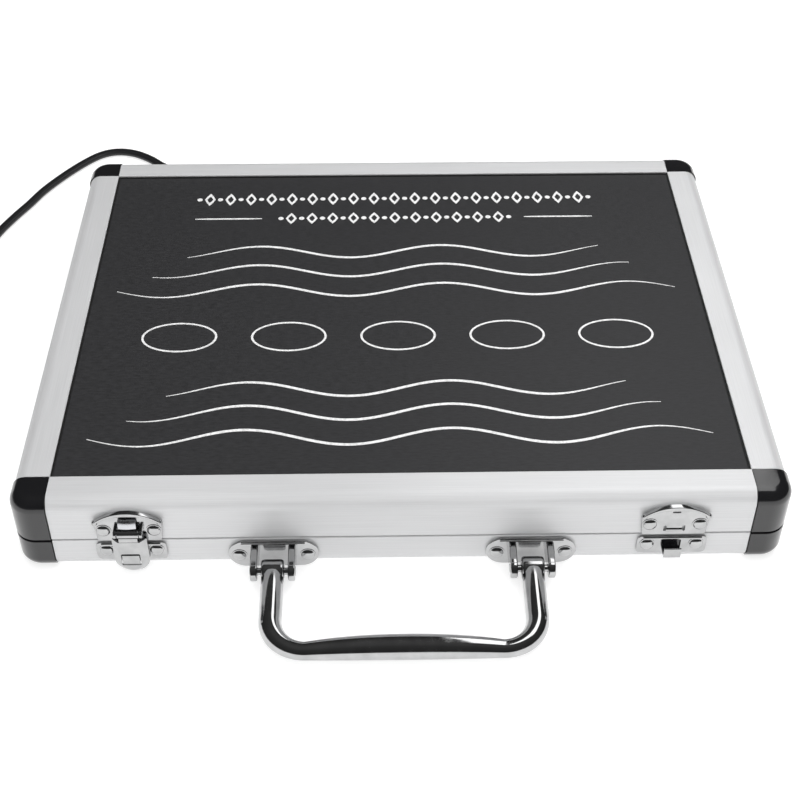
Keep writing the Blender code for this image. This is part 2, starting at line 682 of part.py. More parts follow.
def hasp_lugs(plate, x):
    """Add the two lugs that carry the hasp's pin, and bore them."""
    reach = PLATE_BACK - PLATE_THICKNESS / 2
    for side in (-1, 1):
        middle = x + side * (HASP_BARREL_LENGTH / 2 + GAP + HASP_LUG_THICKNESS / 2)
        centre = (HASP_AXIS[1], HASP_AXIS[2])
        outline = arc(centre, HASP_BARREL_RADIUS, 90, 270, 8)
        outline += [(reach, centre[1] - HASP_BARREL_RADIUS), (reach, centre[1] + HASP_BARREL_RADIUS)]
        lug = prism("lug", [outline], HASP_LUG_THICKNESS, "X", (middle, 0, 0))
        plate = combine(plate, lug, "UNION")
    bore = rod("bore", HASP_PIN_RADIUS + GAP, 2 * HASP_BARREL_LENGTH, "X", HASP_AXIS, 12)
    return combine(plate, bore, "DIFFERENCE")


def make_spring():
    """The leaf spring that comes out of the left latch plate above the hasp's barrel."""
    inner = PLATE_FRONT - GAP
    outer = HASP_AXIS[1] - GAP
    top = [(inner, SPRING_TOP), (outer + SPRING_THICKNESS, (SPRING_TOP + SPRING_BOTTOM) / 2 + GAP)]
    outline = [*top, (outer + SPRING_THICKNESS, SPRING_BOTTOM), (outer, SPRING_BOTTOM)]
    outline += [(outer, (SPRING_TOP + SPRING_BOTTOM) / 2), (inner - SPRING_THICKNESS, SPRING_TOP)]
    spring = prism("latch_spring_left", [outline], SPRING_WIDTH, "X", (-LATCH_SPREAD, 0, 0))
    return finish(spring, STEEL)


def catch_plate(side, x):
    """The base's half of a latch: a plate with a folded top edge and a hook that opens upwards."""
    middle = PLATE_BACK - PLATE_THICKNESS / 2
    fold_front = PLATE_BACK - CATCH_FOLD_DEPTH
    fold_bottom = CATCH_TOP - CATCH_FOLD_HEIGHT
    section = [(PLATE_BACK, CATCH_BOTTOM), (PLATE_FRONT, CATCH_BOTTOM), (PLATE_FRONT, fold_bottom),
               (fold_front, fold_bottom), (fold_front, CATCH_TOP), (PLATE_BACK, CATCH_TOP)]
    plate = prism(f"catch_plate_{side}", [section], LATCH_WIDTH, "X", (x, 0, 0))
    tip = PLATE_FRONT - HOOK_REACH
    hook = [(middle, HOOK_BOTTOM), (tip, HOOK_BOTTOM), (tip, HOOK_TOP), (tip + HOOK_THICKNESS, HOOK_TOP),
            (tip + HOOK_THICKNESS, HOOK_BOTTOM + HOOK_THICKNESS), (middle, HOOK_BOTTOM + HOOK_THICKNESS)]
    plate = combine(plate, prism("hook", [hook], HOOK_WIDTH, "X", (x, 0, 0)), "UNION")
    return finish(plate, CHROME)


def hasp_ring(half, tip, top, y):
    """The hasp's outline at one depth: a straight-sided tongue with a round tip."""
    round_end = [(x, y, z) for x, z in arc((0, tip + half), half, 180, 360, 10)]
    return [(half, y, top), (-half, y, top), *round_end]


def make_hasp():
    """The left hasp: a dished tongue with a window for the hook, and a barrel round its pin."""
    x, _, z = HASP_AXIS
    slope = (HASP_WIDTH - HASP_FACE_WIDTH) / 2
    mesh = bpy.data.meshes.new("hasp_left")
    cage = bmesh.new()
    inner_ring = hasp_ring(HASP_FACE_WIDTH / 2, HASP_TIP + slope, HASP_TOP, HASP_FACE_Y)
    outer_ring = hasp_ring(HASP_WIDTH / 2, HASP_TIP, HASP_TOP, HASP_RIM_Y)
    face = [cage.verts.new(p) for p in inner_ring]
    rim = [cage.verts.new(p) for p in outer_ring]
    cage.faces.new(face)
    for i in range(len(face)):
        j = (i + 1) % len(face)
        cage.faces.new((face[i], rim[i], rim[j], face[j]))
    bmesh.ops.recalc_face_normals(cage, faces=cage.faces)
    cage.to_mesh(mesh)
    cage.free()
    shell = bpy.data.objects.new("hasp_left", mesh)
    shell.location = (x, 0, 0)
    case_parts.objects.link(shell)
    sheet = shell.modifiers.new("sheet", "SOLIDIFY")
    sheet.thickness = HASP_SHEET
    sheet.offset = -1
    hasp = settle(shell)
    neck_y = HASP_FACE_Y + HASP_SHEET / 2
    neck_size = (HASP_NECK_WIDTH, HASP_SHEET - 2 * HASP_NECK_STEP, z - HASP_TOP + 2 * HASP_SHEET)
    neck_place = (x, neck_y, z - neck_size[2] / 2)
    hasp = combine(hasp, block("neck", neck_size, neck_place), "UNION")
    barrel = rod("barrel", HASP_BARREL_RADIUS, HASP_BARREL_LENGTH, "X", HASP_AXIS, 14)
    hasp = combine(hasp, barrel, "UNION")
    bore = rod("bore", HASP_PIN_RADIUS + GAP, 2 * HASP_BARREL_LENGTH, "X", HASP_AXIS, 12)
    hasp = combine(hasp, bore, "DIFFERENCE")
    window_size = (WINDOW_WIDTH, 4 * HASP_SHEET, WINDOW_TOP - WINDOW_BOTTOM)
    window = block("window", window_size, (x, neck_y, WINDOW_BOTTOM + window_size[2] / 2))
    hasp = combine(hasp, window, "DIFFERENCE")
    return finish(move_origin(hasp, HASP_AXIS), CHROME)


def bracket(side, x):
    """A handle bracket: a round-ended plate with two ears for the handle's pin."""
    radius = (BRACKET_TOP - BRACKET_BOTTOM) / 2
    middle_z = BRACKET_BOTTOM + radius
    straight = BRACKET_WIDTH / 2 - radius
    outline = arc((straight, middle_z), radius, -90, 90, 10)
    outline += arc((-straight, middle_z), radius, 90, 270, 10)
    plate_y = PLATE_BACK - BRACKET_SHEET / 2
    plate = prism(f"handle_bracket_{side}", [outline], BRACKET_SHEET, "Y", (x, plate_y, 0))
    centre = (HANDLE_AXIS[1], HANDLE_AXIS[2])
    for end in (-1, 1):
        ear = [(plate_y, BRACKET_TOP - radius / 3), *arc(centre, EAR_RADIUS, 90, 270, 10),
               (plate_y, BRACKET_BOTTOM + radius / 3)]
        place = (x + end * (EAR_GAP + EAR_THICKNESS) / 2, 0, 0)
        plate = combine(plate, prism("ear", [ear], EAR_THICKNESS, "X", place), "UNION")
    bore = rod("bore", HANDLE_PIN_RADIUS + GAP, BRACKET_WIDTH, "X", (x, *centre), 14)
    return finish(combine(plate, bore, "DIFFERENCE"), CHROME)


def handle_pin(side, x):
    """The pin through a bracket's ears and the handle's eye, with a flat head at each end."""
    half = EAR_GAP / 2 + EAR_THICKNESS + GAP
    end = half + HANDLE_PIN_HEAD_LENGTH
    profile = [(0, end), (HANDLE_PIN_HEAD, end), (HANDLE_PIN_HEAD, half), (HANDLE_PIN_RADIUS, half),
               (HANDLE_PIN_RADIUS, -half), (HANDLE_PIN_HEAD, -half), (HANDLE_PIN_HEAD, -end), (0, -end)]
    pin = turned(f"handle_pin_{side}", profile, "X", (x, HANDLE_AXIS[1], HANDLE_AXIS[2]), 14)
    return finish(pin, CHROME)


def make_handle():
    """The bail: two legs with eyes, round bends and a grip that is thickest in the middle."""
    leg_x = BRACKET_SPREAD
    grip_y = HANDLE_AXIS[1] - HANDLE_REACH
    drop = HANDLE_DROP / HANDLE_REACH
    legs = [(leg_x, HANDLE_AXIS[1] + LEG_RADIUS - GAP), (leg_x, HANDLE_AXIS[1] - HANDLE_STRAIGHT)]
    bend = arc((leg_x - HANDLE_BEND, grip_y + HANDLE_BEND), HANDLE_BEND, 0, -90, 7)
    swell = GRIP_RADIUS - GRIP_END_RADIUS
    grip = [((leg_x - HANDLE_BEND) * share, grip_y + swell * rise) for share, rise in GRIP_SWELL]
    half = legs + bend + grip
    plan = half + [(0, grip_y + swell)] + [(-px, py) for px, py in reversed(half)]
    radii = [LEG_RADIUS] * len(legs)
    radii += [LEG_RADIUS + (GRIP_END_RADIUS - LEG_RADIUS) * i / (len(bend) - 1) for i in range(len(bend))]
    radii += [GRIP_END_RADIUS + swell * rise for _, rise in GRIP_SWELL]
    radii = radii + [GRIP_RADIUS] + radii[::-1]
    points = [(px, py, HANDLE_AXIS[2] + (py - HANDLE_AXIS[1]) * drop) for px, py in plan]
    handle = tube("handle", points, radii, 3)
    for side in (-1, 1):
        eye_place = (side * leg_x, HANDLE_AXIS[1], HANDLE_AXIS[2])
        eye = rod("eye", LEG_RADIUS + GAP, 2 * LEG_RADIUS, "X", eye_place, 20)
        handle = combine(handle, eye, "UNION")
        bore = rod("bore", HANDLE_PIN_RADIUS + GAP, 4 * LEG_RADIUS, "X", eye_place, 14)
        handle = combine(handle, bore, "DIFFERENCE")
    return finish(move_origin(handle, HANDLE_AXIS), CHROME)


def make_strain_relief():
    """The tapered sleeve of the lead: collar outside the back wall, shank through it."""
    collar = HALF_DEPTH + GAP
    tip = collar + RELIEF_LENGTH
    sleeve = collar + RELIEF_COLLAR_LENGTH + RELIEF_FILLET
    root_radius = RELIEF_COLLAR - RELIEF_COLLAR_STEP
    tip_radius = CORD_RADIUS + RELIEF_TIP_WALL
    steps = 4
    taper = [(root_radius + (tip_radius - root_radius) * i / steps, sleeve + (tip - sleeve) * i / steps)
             for i in range(steps + 1)]
    inner_end = HALF_DEPTH - WALL - RELIEF_TAIL
    profile = [(0, inner_end), (RELIEF_SHANK, inner_end), (RELIEF_SHANK, collar), (RELIEF_COLLAR, collar),
               (RELIEF_COLLAR, collar + RELIEF_COLLAR_LENGTH), *taper, (0, tip)]
    mirrored = [(r, -y) for r, y in profile]
    return finish(turned("strain_relief", mirrored, "Y", (RELIEF_X, 0, RELIEF_HEIGHT), 16), LEAD_BLACK)


def make_coil():
    """The stowed part of the lead: one round coil, held by a strap."""
    centre = (COIL_CENTRE[0], COIL_CENTRE[1], (COIL_BOTTOM + COIL_TOP) / 2)
    middle = (COIL_INNER + COIL_OUTER) / 2
    half_width = (COIL_OUTER - COIL_INNER) / 2
    half_height = (COIL_TOP - COIL_BOTTOM) / 2
    soft = half_height / 2
    flat = half_width - soft
    section = [(middle, half_height), (middle + flat, half_height), (middle + half_width, soft),
               (middle + half_width, -soft), (middle + flat, -half_height),
               (middle - flat, -half_height), (middle - half_width, -soft),
               (middle - half_width, soft), (middle - flat, half_height), (middle, half_height)]
    finish(turned("cord_coil", section, "Z", centre, 40), LEAD_BLACK)
    room = 2 * GAP
    inside = rectangle(-COIL_OUTER - room, COIL_BOTTOM - room / 2, -COIL_INNER + room, COIL_TOP + room)
    outside = rectangle(-COIL_OUTER - room - TIE_THICKNESS, COIL_BOTTOM - room / 2 - TIE_THICKNESS,
                        -COIL_INNER + room + TIE_THICKNESS, COIL_TOP + room + TIE_THICKNESS)
    tie = prism("cord_tie", [outside, inside], TIE_WIDTH, "X", (centre[0], centre[1], 0))
    return finish(tie, TIE_BLACK)


def make_plug():
    """The two-pin plug: it leaves the coil along its edge and lies beside it."""
    radius = COIL_OUTER + CORD_RADIUS + 2 * GAP
    turn = math.radians(180 + PLUG_TURN)
    start = Vector((COIL_CENTRE[0] + radius * math.cos(turn), COIL_CENTRE[1] + radius * math.sin(turn), 0))
    heading = math.radians(90 + PLUG_TURN)
    place = Matrix.Translation(start) @ Matrix.Rotation(heading, 4, "Z")
    height = PLUG_HEIGHT / 2 + GAP
    half = PLUG_WIDTH / 2
    body = block("plug", (PLUG_LENGTH, PLUG_WIDTH, PLUG_HEIGHT), (PLUG_TAIL + PLUG_LENGTH / 2, 0, height))
    bevel = body.modifiers.new("soft_edges", "BEVEL")
    bevel.width = half / 4
    bevel.segments = 2
    body = settle(body)
    tail_end = CORD_RADIUS + PLUG_TAIL_FLARE
    tail_profile = [(0, PLUG_TAIL + PLUG_ROOT), (tail_end, PLUG_TAIL + PLUG_ROOT), (tail_end, PLUG_TAIL),
                    (CORD_RADIUS + GAP, 0), (0, 0)]
    body = combine(body, turned("tail", tail_profile, "X", (0, 0, height), 12), "UNION")
    prong_length = PRONG_LENGTH + PLUG_ROOT
    prong_middle = PLUG_TAIL + PLUG_LENGTH - PLUG_ROOT + prong_length / 2
    for side in (-1, 1):
        prong_place = (prong_middle, side * PRONG_SPREAD, height)
        prong = rod("prong", PRONG_RADIUS, prong_length, "X", prong_place, 10)
        body = combine(body, prong, "UNION")
    body.matrix_world = place @ body.matrix_world
    return finish(body, LEAD_BLACK)


base_bars = make_frame("base", BASE_RIM, 0)
relief_place = (RELIEF_X, HALF_DEPTH - WALL / 2, RELIEF_HEIGHT)
relief_hole = rod("hole", RELIEF_SHANK + GAP, 4 * WALL, "Y", relief_place, 16)
base_bars["back"] = combine(base_bars["back"], relief_hole, "DIFFERENCE")
lid_bars = make_frame("lid", LID_RIM, CASE_HEIGHT)
for bar in [*base_bars.values(), *lid_bars.values()]:
    finish(bar, ALUMINIUM)
make_corners("base", BASE_RIM, 0)
lid_corners = make_corners("lid", LID_RIM, CASE_HEIGHT)
lid_panel, bottom_panel = make_panels()
make_heater()
make_tray()
make_stones()
lining = make_lining()
lid_leaves = make_hinges()
left_plate = finish(hasp_lugs(latch_plate("left", -LATCH_SPREAD), -LATCH_SPREAD), CHROME)
right_plate = finish(latch_plate("right", LATCH_SPREAD), CHROME)
spring = make_spring()
pin_length = HASP_BARREL_LENGTH + 2 * (GAP + HASP_LUG_THICKNESS)
hasp_pin = finish(rod("hasp_pin_left", HASP_PIN_RADIUS, pin_length, "X", HASP_AXIS, 12), STEEL)
catch_plate("left", -LATCH_SPREAD)
catch_plate("right", LATCH_SPREAD)
hasp = make_hasp()
for side, x in (("left", -BRACKET_SPREAD), ("right", BRACKET_SPREAD)):
    bracket(side, x)
    handle_pin(side, x)
handle = make_handle()
make_strain_relief()
free_run = smooth_route(CORD_ROUTE, 5 * CORD_RADIUS)
finish(tube("cord", free_run, [CORD_RADIUS] * len(free_run), 2), LEAD_BLACK)
make_coil()
make_plug()

lid_axis = empty_at("lid_hinge_axis", HINGE_AXIS)
hang_on(lid_axis, [*lid_bars.values(), *lid_corners, lid_panel, lining, *lid_leaves])
hang_on(lid_axis, [left_plate, right_plate, spring, hasp_pin, hasp])
handle_axis = empty_at("handle_pin_axis", HANDLE_AXIS)
hang_on(handle_axis, [handle])
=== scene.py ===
"""A slim aluminium case that warms basalt massage stones: its finished look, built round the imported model."""
import json
import math

import bmesh
import bpy
from mathutils import Matrix, Vector, noise

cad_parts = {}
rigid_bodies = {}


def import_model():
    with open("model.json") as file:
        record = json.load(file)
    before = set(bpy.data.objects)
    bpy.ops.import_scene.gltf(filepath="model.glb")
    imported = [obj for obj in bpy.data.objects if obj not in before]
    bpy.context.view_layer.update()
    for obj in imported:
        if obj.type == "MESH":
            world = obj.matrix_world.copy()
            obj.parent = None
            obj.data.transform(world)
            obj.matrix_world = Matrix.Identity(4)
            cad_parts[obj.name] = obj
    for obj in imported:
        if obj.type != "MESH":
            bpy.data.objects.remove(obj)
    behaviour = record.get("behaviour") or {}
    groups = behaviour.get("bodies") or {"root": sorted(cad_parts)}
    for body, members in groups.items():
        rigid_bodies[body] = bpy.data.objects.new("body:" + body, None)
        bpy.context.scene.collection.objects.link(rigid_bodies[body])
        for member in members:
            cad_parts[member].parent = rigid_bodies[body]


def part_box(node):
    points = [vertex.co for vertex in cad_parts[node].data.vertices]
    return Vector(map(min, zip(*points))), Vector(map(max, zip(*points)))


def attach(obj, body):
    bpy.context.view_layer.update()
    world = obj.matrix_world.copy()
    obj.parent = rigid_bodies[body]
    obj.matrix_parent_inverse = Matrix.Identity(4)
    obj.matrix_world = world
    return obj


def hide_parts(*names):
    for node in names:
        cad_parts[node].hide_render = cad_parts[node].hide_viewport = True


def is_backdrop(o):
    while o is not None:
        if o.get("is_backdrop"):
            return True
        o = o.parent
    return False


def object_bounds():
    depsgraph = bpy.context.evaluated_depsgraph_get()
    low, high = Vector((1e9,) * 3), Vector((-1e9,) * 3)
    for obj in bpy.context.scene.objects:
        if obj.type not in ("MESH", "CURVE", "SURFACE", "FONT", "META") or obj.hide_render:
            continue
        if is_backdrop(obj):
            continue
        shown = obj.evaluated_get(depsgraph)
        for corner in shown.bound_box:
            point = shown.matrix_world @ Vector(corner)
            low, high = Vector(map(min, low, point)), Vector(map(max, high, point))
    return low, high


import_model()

low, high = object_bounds()
MM = 0.001


# ---- Studio: a pale table, a bright room and a camera that looks down over the handle ----
# The room above the table is dark and one long softbox hangs to the right, so that plated parts show
# black and white bands. Two broad lamps, overhead and in front, light the dull surfaces only.
CAMERA_PLACE = Vector((-9.8, -554.1, 473.8)) * MM
CAMERA_PITCH = math.radians(41.83)
CAMERA_YAW = math.radians(1.163)
CAMERA_ROLL = 0.0033
LENS_MM = 64.86
TABLE_SIZE = 12.0
TABLE_DROP = 0.3 * MM


def linked(name, data):
    """A new object in the scene that shows some data."""
    thing = bpy.data.objects.new(name, data)
    bpy.context.scene.collection.objects.link(thing)
    return thing


def aimed(place, target):
    """A matrix at one point whose -Z looks at another."""
    turn = (target - place).to_track_quat("-Z", "Y")
    return Matrix.Translation(place) @ turn.to_matrix().to_4x4()


def lamp(name, place, target, size, watts, mirrored=True):
    """A rectangular area lamp; one that isn't mirrored leaves no reflection."""
    data = bpy.data.lights.new(name, "AREA")
    data.shape = "RECTANGLE"
    data.size, data.size_y = size
    data.energy = watts
    light = linked(name, data)
    light.matrix_world = aimed(Vector(place), Vector(target))
    light.visible_glossy = mirrored


forward = Vector((math.sin(CAMERA_YAW) * math.cos(CAMERA_PITCH),
                  math.cos(CAMERA_YAW) * math.cos(CAMERA_PITCH),
                  -math.sin(CAMERA_PITCH)))
level = Vector((math.cos(CAMERA_YAW), -math.sin(CAMERA_YAW), 0))
upright = level.cross(forward)
across = math.cos(CAMERA_ROLL) * level + math.sin(CAMERA_ROLL) * upright
upright = across.cross(forward)
camera_data = bpy.data.cameras.new("camera")
camera_data.lens = LENS_MM
camera_data.clip_start = 0.01
camera = linked("camera", camera_data)
camera.matrix_world = Matrix.Translation(CAMERA_PLACE) @ Matrix((across, upright, -forward)).transposed().to_4x4()
bpy.context.scene.camera = camera
bpy.context.scene.view_settings.view_transform = "Standard"

lamp("overhead", (0, 0.1, 1.5), (0, 0, 0), (2.2, 2.0), 23, mirrored=False)
lamp("front", (0, -1.2, 1.1), (0, 0, 0), (1.8, 0.6), 15, mirrored=False)
lamp("softbox", (0.25, 0.25, 0.62), (0.25, 0.25, 0), (0.28, 0.8), 1.6)

room = bpy.data.worlds.new("room")
room.use_nodes = True
sky = room.node_tree
direction = sky.nodes.new("ShaderNodeTexCoord")
height = sky.nodes.new("ShaderNodeSeparateXYZ")
shade = sky.nodes.new("ShaderNodeValToRGB")
rise = sky.nodes.new("ShaderNodeMath")
rise.operation = "MULTIPLY_ADD"
rise.inputs[1].default_value = 0.5
rise.inputs[2].default_value = 0.5
sky.links.new(direction.outputs["Generated"], height.inputs[0])
sky.links.new(height.outputs["Z"], rise.inputs[0])
sky.links.new(rise.outputs[0], shade.inputs[0])
sky.links.new(shade.outputs[0], sky.nodes["Background"].inputs["Color"])
stops = shade.color_ramp.elements
stops[0].position, stops[0].color = 0.0, (0.8, 0.8, 0.8, 1)
stops[1].position, stops[1].color = 1.0, (0.08, 0.08, 0.08, 1)
for position, grey in ((0.49, 0.6), (0.505, 0.1), (0.6, 0.03), (0.9, 0.05)):
    stops.new(position).color = (grey, grey, grey, 1)
bpy.context.scene.world = room


class Signal:
    """An output socket of a shader tree. Arithmetic on it adds Math nodes."""

    def __init__(self, tree, socket):
        self.tree = tree
        self.socket = socket

    def math(self, operation, *values):
        node = self.tree.nodes.new("ShaderNodeMath")
        node.operation = operation
        for entry, value in zip(node.inputs, values):
            connect(self.tree, value, entry)
        return Signal(self.tree, node.outputs[0])

    def __add__(self, other):
        return self.math("ADD", self, other)

    def __sub__(self, other):
        return self.math("SUBTRACT", self, other)

    def __rsub__(self, other):
        return self.math("SUBTRACT", other, self)

    def __mul__(self, other):
        return self.math("MULTIPLY", self, other)

    def __pow__(self, other):
        return self.math("POWER", self, other)

    __radd__ = __add__
    __rmul__ = __mul__


def connect(tree, value, entry):
    """Put a number, a colour or a signal into an input socket."""
    if isinstance(value, Signal):
        tree.links.new(value.socket, entry)
    else:
        entry.default_value = value


class Finish:
    """A material: its constant settings are set at once, and its nodes come from one method."""

    def __init__(self, name, colour, roughness, **constants):
        self.material = bpy.data.materials.new(name)
        self.material.use_nodes = True
        self.tree = self.material.node_tree
        self.shader = self.tree.nodes["Principled BSDF"]
        self.shader.inputs["Base Color"].default_value = (*colour, 1)
        self.shader.inputs["Roughness"].default_value = roughness
        for socket, value in constants.items():
            self.shader.inputs[socket.replace("_", " ")].default_value = value
        self.material.diffuse_color = (*colour, 1)

    def node(self, kind, settings=None, output=0, **entries):
        """Add a node by type, with its settings first and then its sockets' values or links."""
        node = self.tree.nodes.new(kind)
        for key, value in (settings or {}).items():
            setattr(node, key, value)
        for key, value in entries.items():
            entry = node.inputs[int(key[1:])] if key[1:].isdigit() else node.inputs[key.replace("_", " ")]
            connect(self.tree, value, entry)
        return Signal(self.tree, node.outputs[output])

    def place(self, scale=(1, 1, 1)):
        """Object coordinates, stretched."""
        raw = self.node("ShaderNodeTexCoord", output=3)
        return self.node("ShaderNodeMapping", Vector=raw, Scale=scale)

    def grain(self, scale, stretch=(1, 1, 1), detail=3.0, distortion=0.0):
        """Noise at a number of lumps per metre."""
        return self.node("ShaderNodeTexNoise", Vector=self.place(stretch), Scale=scale, Detail=detail,
                         Distortion=distortion)

    def spread(self, signal, low_end, high_end, start=0.0, end=1.0):
        """Map a signal from one range to another and stop at the ends."""
        return self.node("ShaderNodeMapRange", Value=signal, i1=start, i2=end, i3=low_end, i4=high_end)

    def blend(self, factor, first, second):
        """Mix two colours by a signal."""
        return self.node("ShaderNodeMix", {"data_type": "RGBA"}, output=2, i0=factor, i6=(*first, 1),
                         i7=(*second, 1))

    def feed(self, socket, signal):
        connect(self.tree, signal, self.shader.inputs[socket])

    def bump(self, signal, depth, strength=1.0):
        """Raise the surface by a signal, depth in metres."""
        relief = self.node("ShaderNodeBump", Height=signal, Distance=depth, Strength=strength)
        self.feed("Normal", relief)


table_top = Finish("pale_table", (0.55, 0.55, 0.55), 0.7, Emission_Strength=0.62)
table_top.shader.inputs["Emission Color"].default_value = (1, 1, 1, 1)
table_mesh = bpy.data.meshes.new("table")
cage = bmesh.new()
bmesh.ops.create_grid(cage, x_segments=1, y_segments=1, size=TABLE_SIZE / 2)
bmesh.ops.translate(cage, vec=(0, 0, -TABLE_DROP), verts=cage.verts)
cage.to_mesh(table_mesh)
cage.free()
table_mesh.materials.append(table_top.material)
linked("table", table_mesh)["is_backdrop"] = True


# ---- Mains lead: a flat twin flex in black PVC that runs out of the back and is wound into a coil ----
# Two round cores lie side by side under one skin, with a shallow groove between them. The lead is
# 5 mm wide and 3.3 mm thick, and the length that isn't in use is wound in two layers.
CORD_WIDTH = 5.0 * MM
CORE_RADIUS = 1.65 * MM
CORE_OFFSET = CORD_WIDTH / 2 - CORE_RADIUS
SLEEVE_STEP = 3 * MM
LEAD_ROUTE = [
    (-0.1280, 0.1631, 0.0110),
    (-0.1280, 0.1690, 0.0103),
    (-0.1291, 0.1745, 0.0066),
    (-0.1330, 0.1808, 0.0037),
    (-0.1386, 0.1864, 0.0028),
    (-0.1460, 0.1935, 0.0028),
    (-0.1556, 0.1996, 0.0028),
    (-0.1653, 0.2017, 0.0028),
    (-0.1742, 0.1993, 0.0028),
    (-0.1823, 0.1922, 0.0028),
    (-0.1927, 0.1787, 0.0028),
    (-0.2035, 0.1611, 0.0028),
    (-0.2099, 0.1467, 0.0028),
    (-0.2166, 0.1327, 0.0028),
    (-0.2225, 0.1182, 0.0028),
    (-0.2270, 0.1020, 0.0028),
    (-0.2298, 0.0840, 0.0028),
    (-0.2301, 0.0640, 0.0028),
]


def smoothstep(share):
    share = min(1.0, max(0.0, share))
    return share * share * (3 - 2 * share)


def smooth_run(points, spacing):
    """Evenly spaced points on a Catmull-Rom curve through a line of points."""
    points = [Vector(p) for p in points]
    guide = [2 * points[0] - points[1], *points, 2 * points[-1] - points[-2]]
    fine = []
    for p0, p1, p2, p3 in zip(guide, guide[1:], guide[2:], guide[3:]):
        for i in range(16):
            t = i / 16
            fine.append(0.5 * (2 * p1 + (p2 - p0) * t + (2 * p0 - 5 * p1 + 4 * p2 - p3) * t * t
                               + (3 * p1 - p0 - 3 * p2 + p3) * t ** 3))
    fine.append(points[-1])
    return evenly(fine, spacing)


def evenly(line, spacing):
    """The same line with points at an even spacing."""
    run = [0.0]
    for first, second in zip(line, line[1:]):
        run.append(run[-1] + (second - first).length)
    count = max(2, round(run[-1] / spacing))
    result = []
    index = 0
    for i in range(count + 1):
        wanted = run[-1] * i / count
        while index < len(run) - 2 and run[index + 1] < wanted:
            index += 1
        share = (wanted - run[index]) / max(run[index + 1] - run[index], 1e-12)
        result.append(line[index].lerp(line[index + 1], share))
    return result


def skin_of(cage, rings, close_ends=True):
    """Join rings of points with faces, and close the first and last ring."""
    rows = [[cage.verts.new(p) for p in ring] for ring in rings]
    count = len(rows[0])
    for first, second in zip(rows, rows[1:]):
        for i in range(count):
            j = (i + 1) % count
            cage.faces.new((first[i], first[j], second[j], second[i]))
    if close_ends:
        cage.faces.new(rows[0][::-1])
        cage.faces.new(rows[-1])
    return rows


def swept(cage, line, section, up=Vector((0, 0, 1)), sizes=None):
    """Sweep a flat section along a line; the section's second number points up. Sizes scale it."""
    rings = []
    for i, point in enumerate(line):
        ahead = (line[min(i + 1, len(line) - 1)] - line[max(i - 1, 0)]).normalized()
        side = ahead.cross(up).normalized()
        top = side.cross(ahead)
        size = 1 if sizes is None else sizes[i]
        rings.append([point + side * (a * size) + top * (b * size) for a, b in section])
    return skin_of(cage, rings)


def cooked(thing):
    """The mesh that an object's modifiers make; the object itself is dropped."""
    bpy.context.view_layer.update()
    graph = bpy.context.evaluated_depsgraph_get()
    mesh = bpy.data.meshes.new_from_object(thing.evaluated_get(graph), preserve_all_data_layers=True,
                                           depsgraph=graph)
    bpy.data.objects.remove(thing, do_unlink=True)
    return mesh


def levelled(mesh):
    """The same mesh with its shading weighted by face area, so that big flat faces stay flat."""
    thing = linked("levelled", mesh)
    step = thing.modifiers.new("level", "WEIGHTED_NORMAL")
    step.keep_sharp = True
    return cooked(thing)


def piece(name, cage, finish, body, replaces=(), crease=38):
    """Turn a cage into a shown piece: facing out, smooth with sharp creases, riding on its body."""
    bmesh.ops.remove_doubles(cage, verts=cage.verts, dist=0.000001)
    bmesh.ops.recalc_face_normals(cage, faces=cage.faces)
    mesh = bpy.data.meshes.new(name)
    cage.to_mesh(mesh)
    cage.free()
    return shown(name, mesh, finish, body, replaces, crease)


def shown(name, mesh, finish, body, replaces=(), crease=38):
    """Give a finished mesh its material and its CAD body."""
    mesh.materials.clear()
    mesh.materials.append(finish.material)
    mesh.shade_smooth()
    mesh.set_sharp_from_angle(angle=math.radians(crease))
    mesh = levelled(mesh)
    mesh.name = name
    thing = linked(name, mesh)
    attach(thing, body)
    if replaces:
        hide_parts(*replaces)
    return thing


lead_pvc = Finish("lead_pvc", (0.012, 0.012, 0.013), 0.38, Specular_IOR_Level=0.45)
lead_grain = lead_pvc.grain(900)
lead_pvc.feed("Roughness", lead_pvc.spread(lead_grain, 0.3, 0.5, 0.3, 0.7))
lead_pvc.bump(lead_grain, 0.00005, 0.5)

coil_low, coil_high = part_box("cord_coil")
coil_centre = (coil_low + coil_high) / 2
relief_low, relief_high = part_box("strain_relief")
exit_point = Vector(((relief_low.x + relief_high.x) / 2, relief_high.y, (relief_low.z + relief_high.z) / 2))

LYING_DROP = 1.05 * MM
start_height, lying_height = LEAD_ROUTE[0][2], LEAD_ROUTE[-1][2]
free_points = [Vector(p) for p in LEAD_ROUTE]
for point in free_points:
    point.z -= LYING_DROP * (start_height - point.z) / (start_height - lying_height)
free_points.insert(0, free_points[0] - Vector((0, SLEEVE_STEP, 0)))

OUTER_TURN = 36.3 * MM
INNER_TURN = 25.2 * MM
LEAVING_TURN = coil_high.x - coil_centre.x + CORD_WIDTH / 2 + 0.6 * MM
LAYER_RISE = 3.6 * MM
PLUG_ANGLE = math.radians(200)
PLUG_AXIS_HEIGHT = 5.8 * MM
TIE_ANGLE = math.radians(-90)
TIE_LIFT = 1.15 * MM
JOINING = math.radians(70)
arrival = free_points[-1] - coil_centre
arrival_angle = math.atan2(arrival.y, arrival.x)
arrival_radius = Vector((arrival.x, arrival.y)).length
last_angle = arrival_angle - PLUG_ANGLE + 5 * 2 * math.pi
layer_angle = (last_angle - 3 * JOINING) / 2


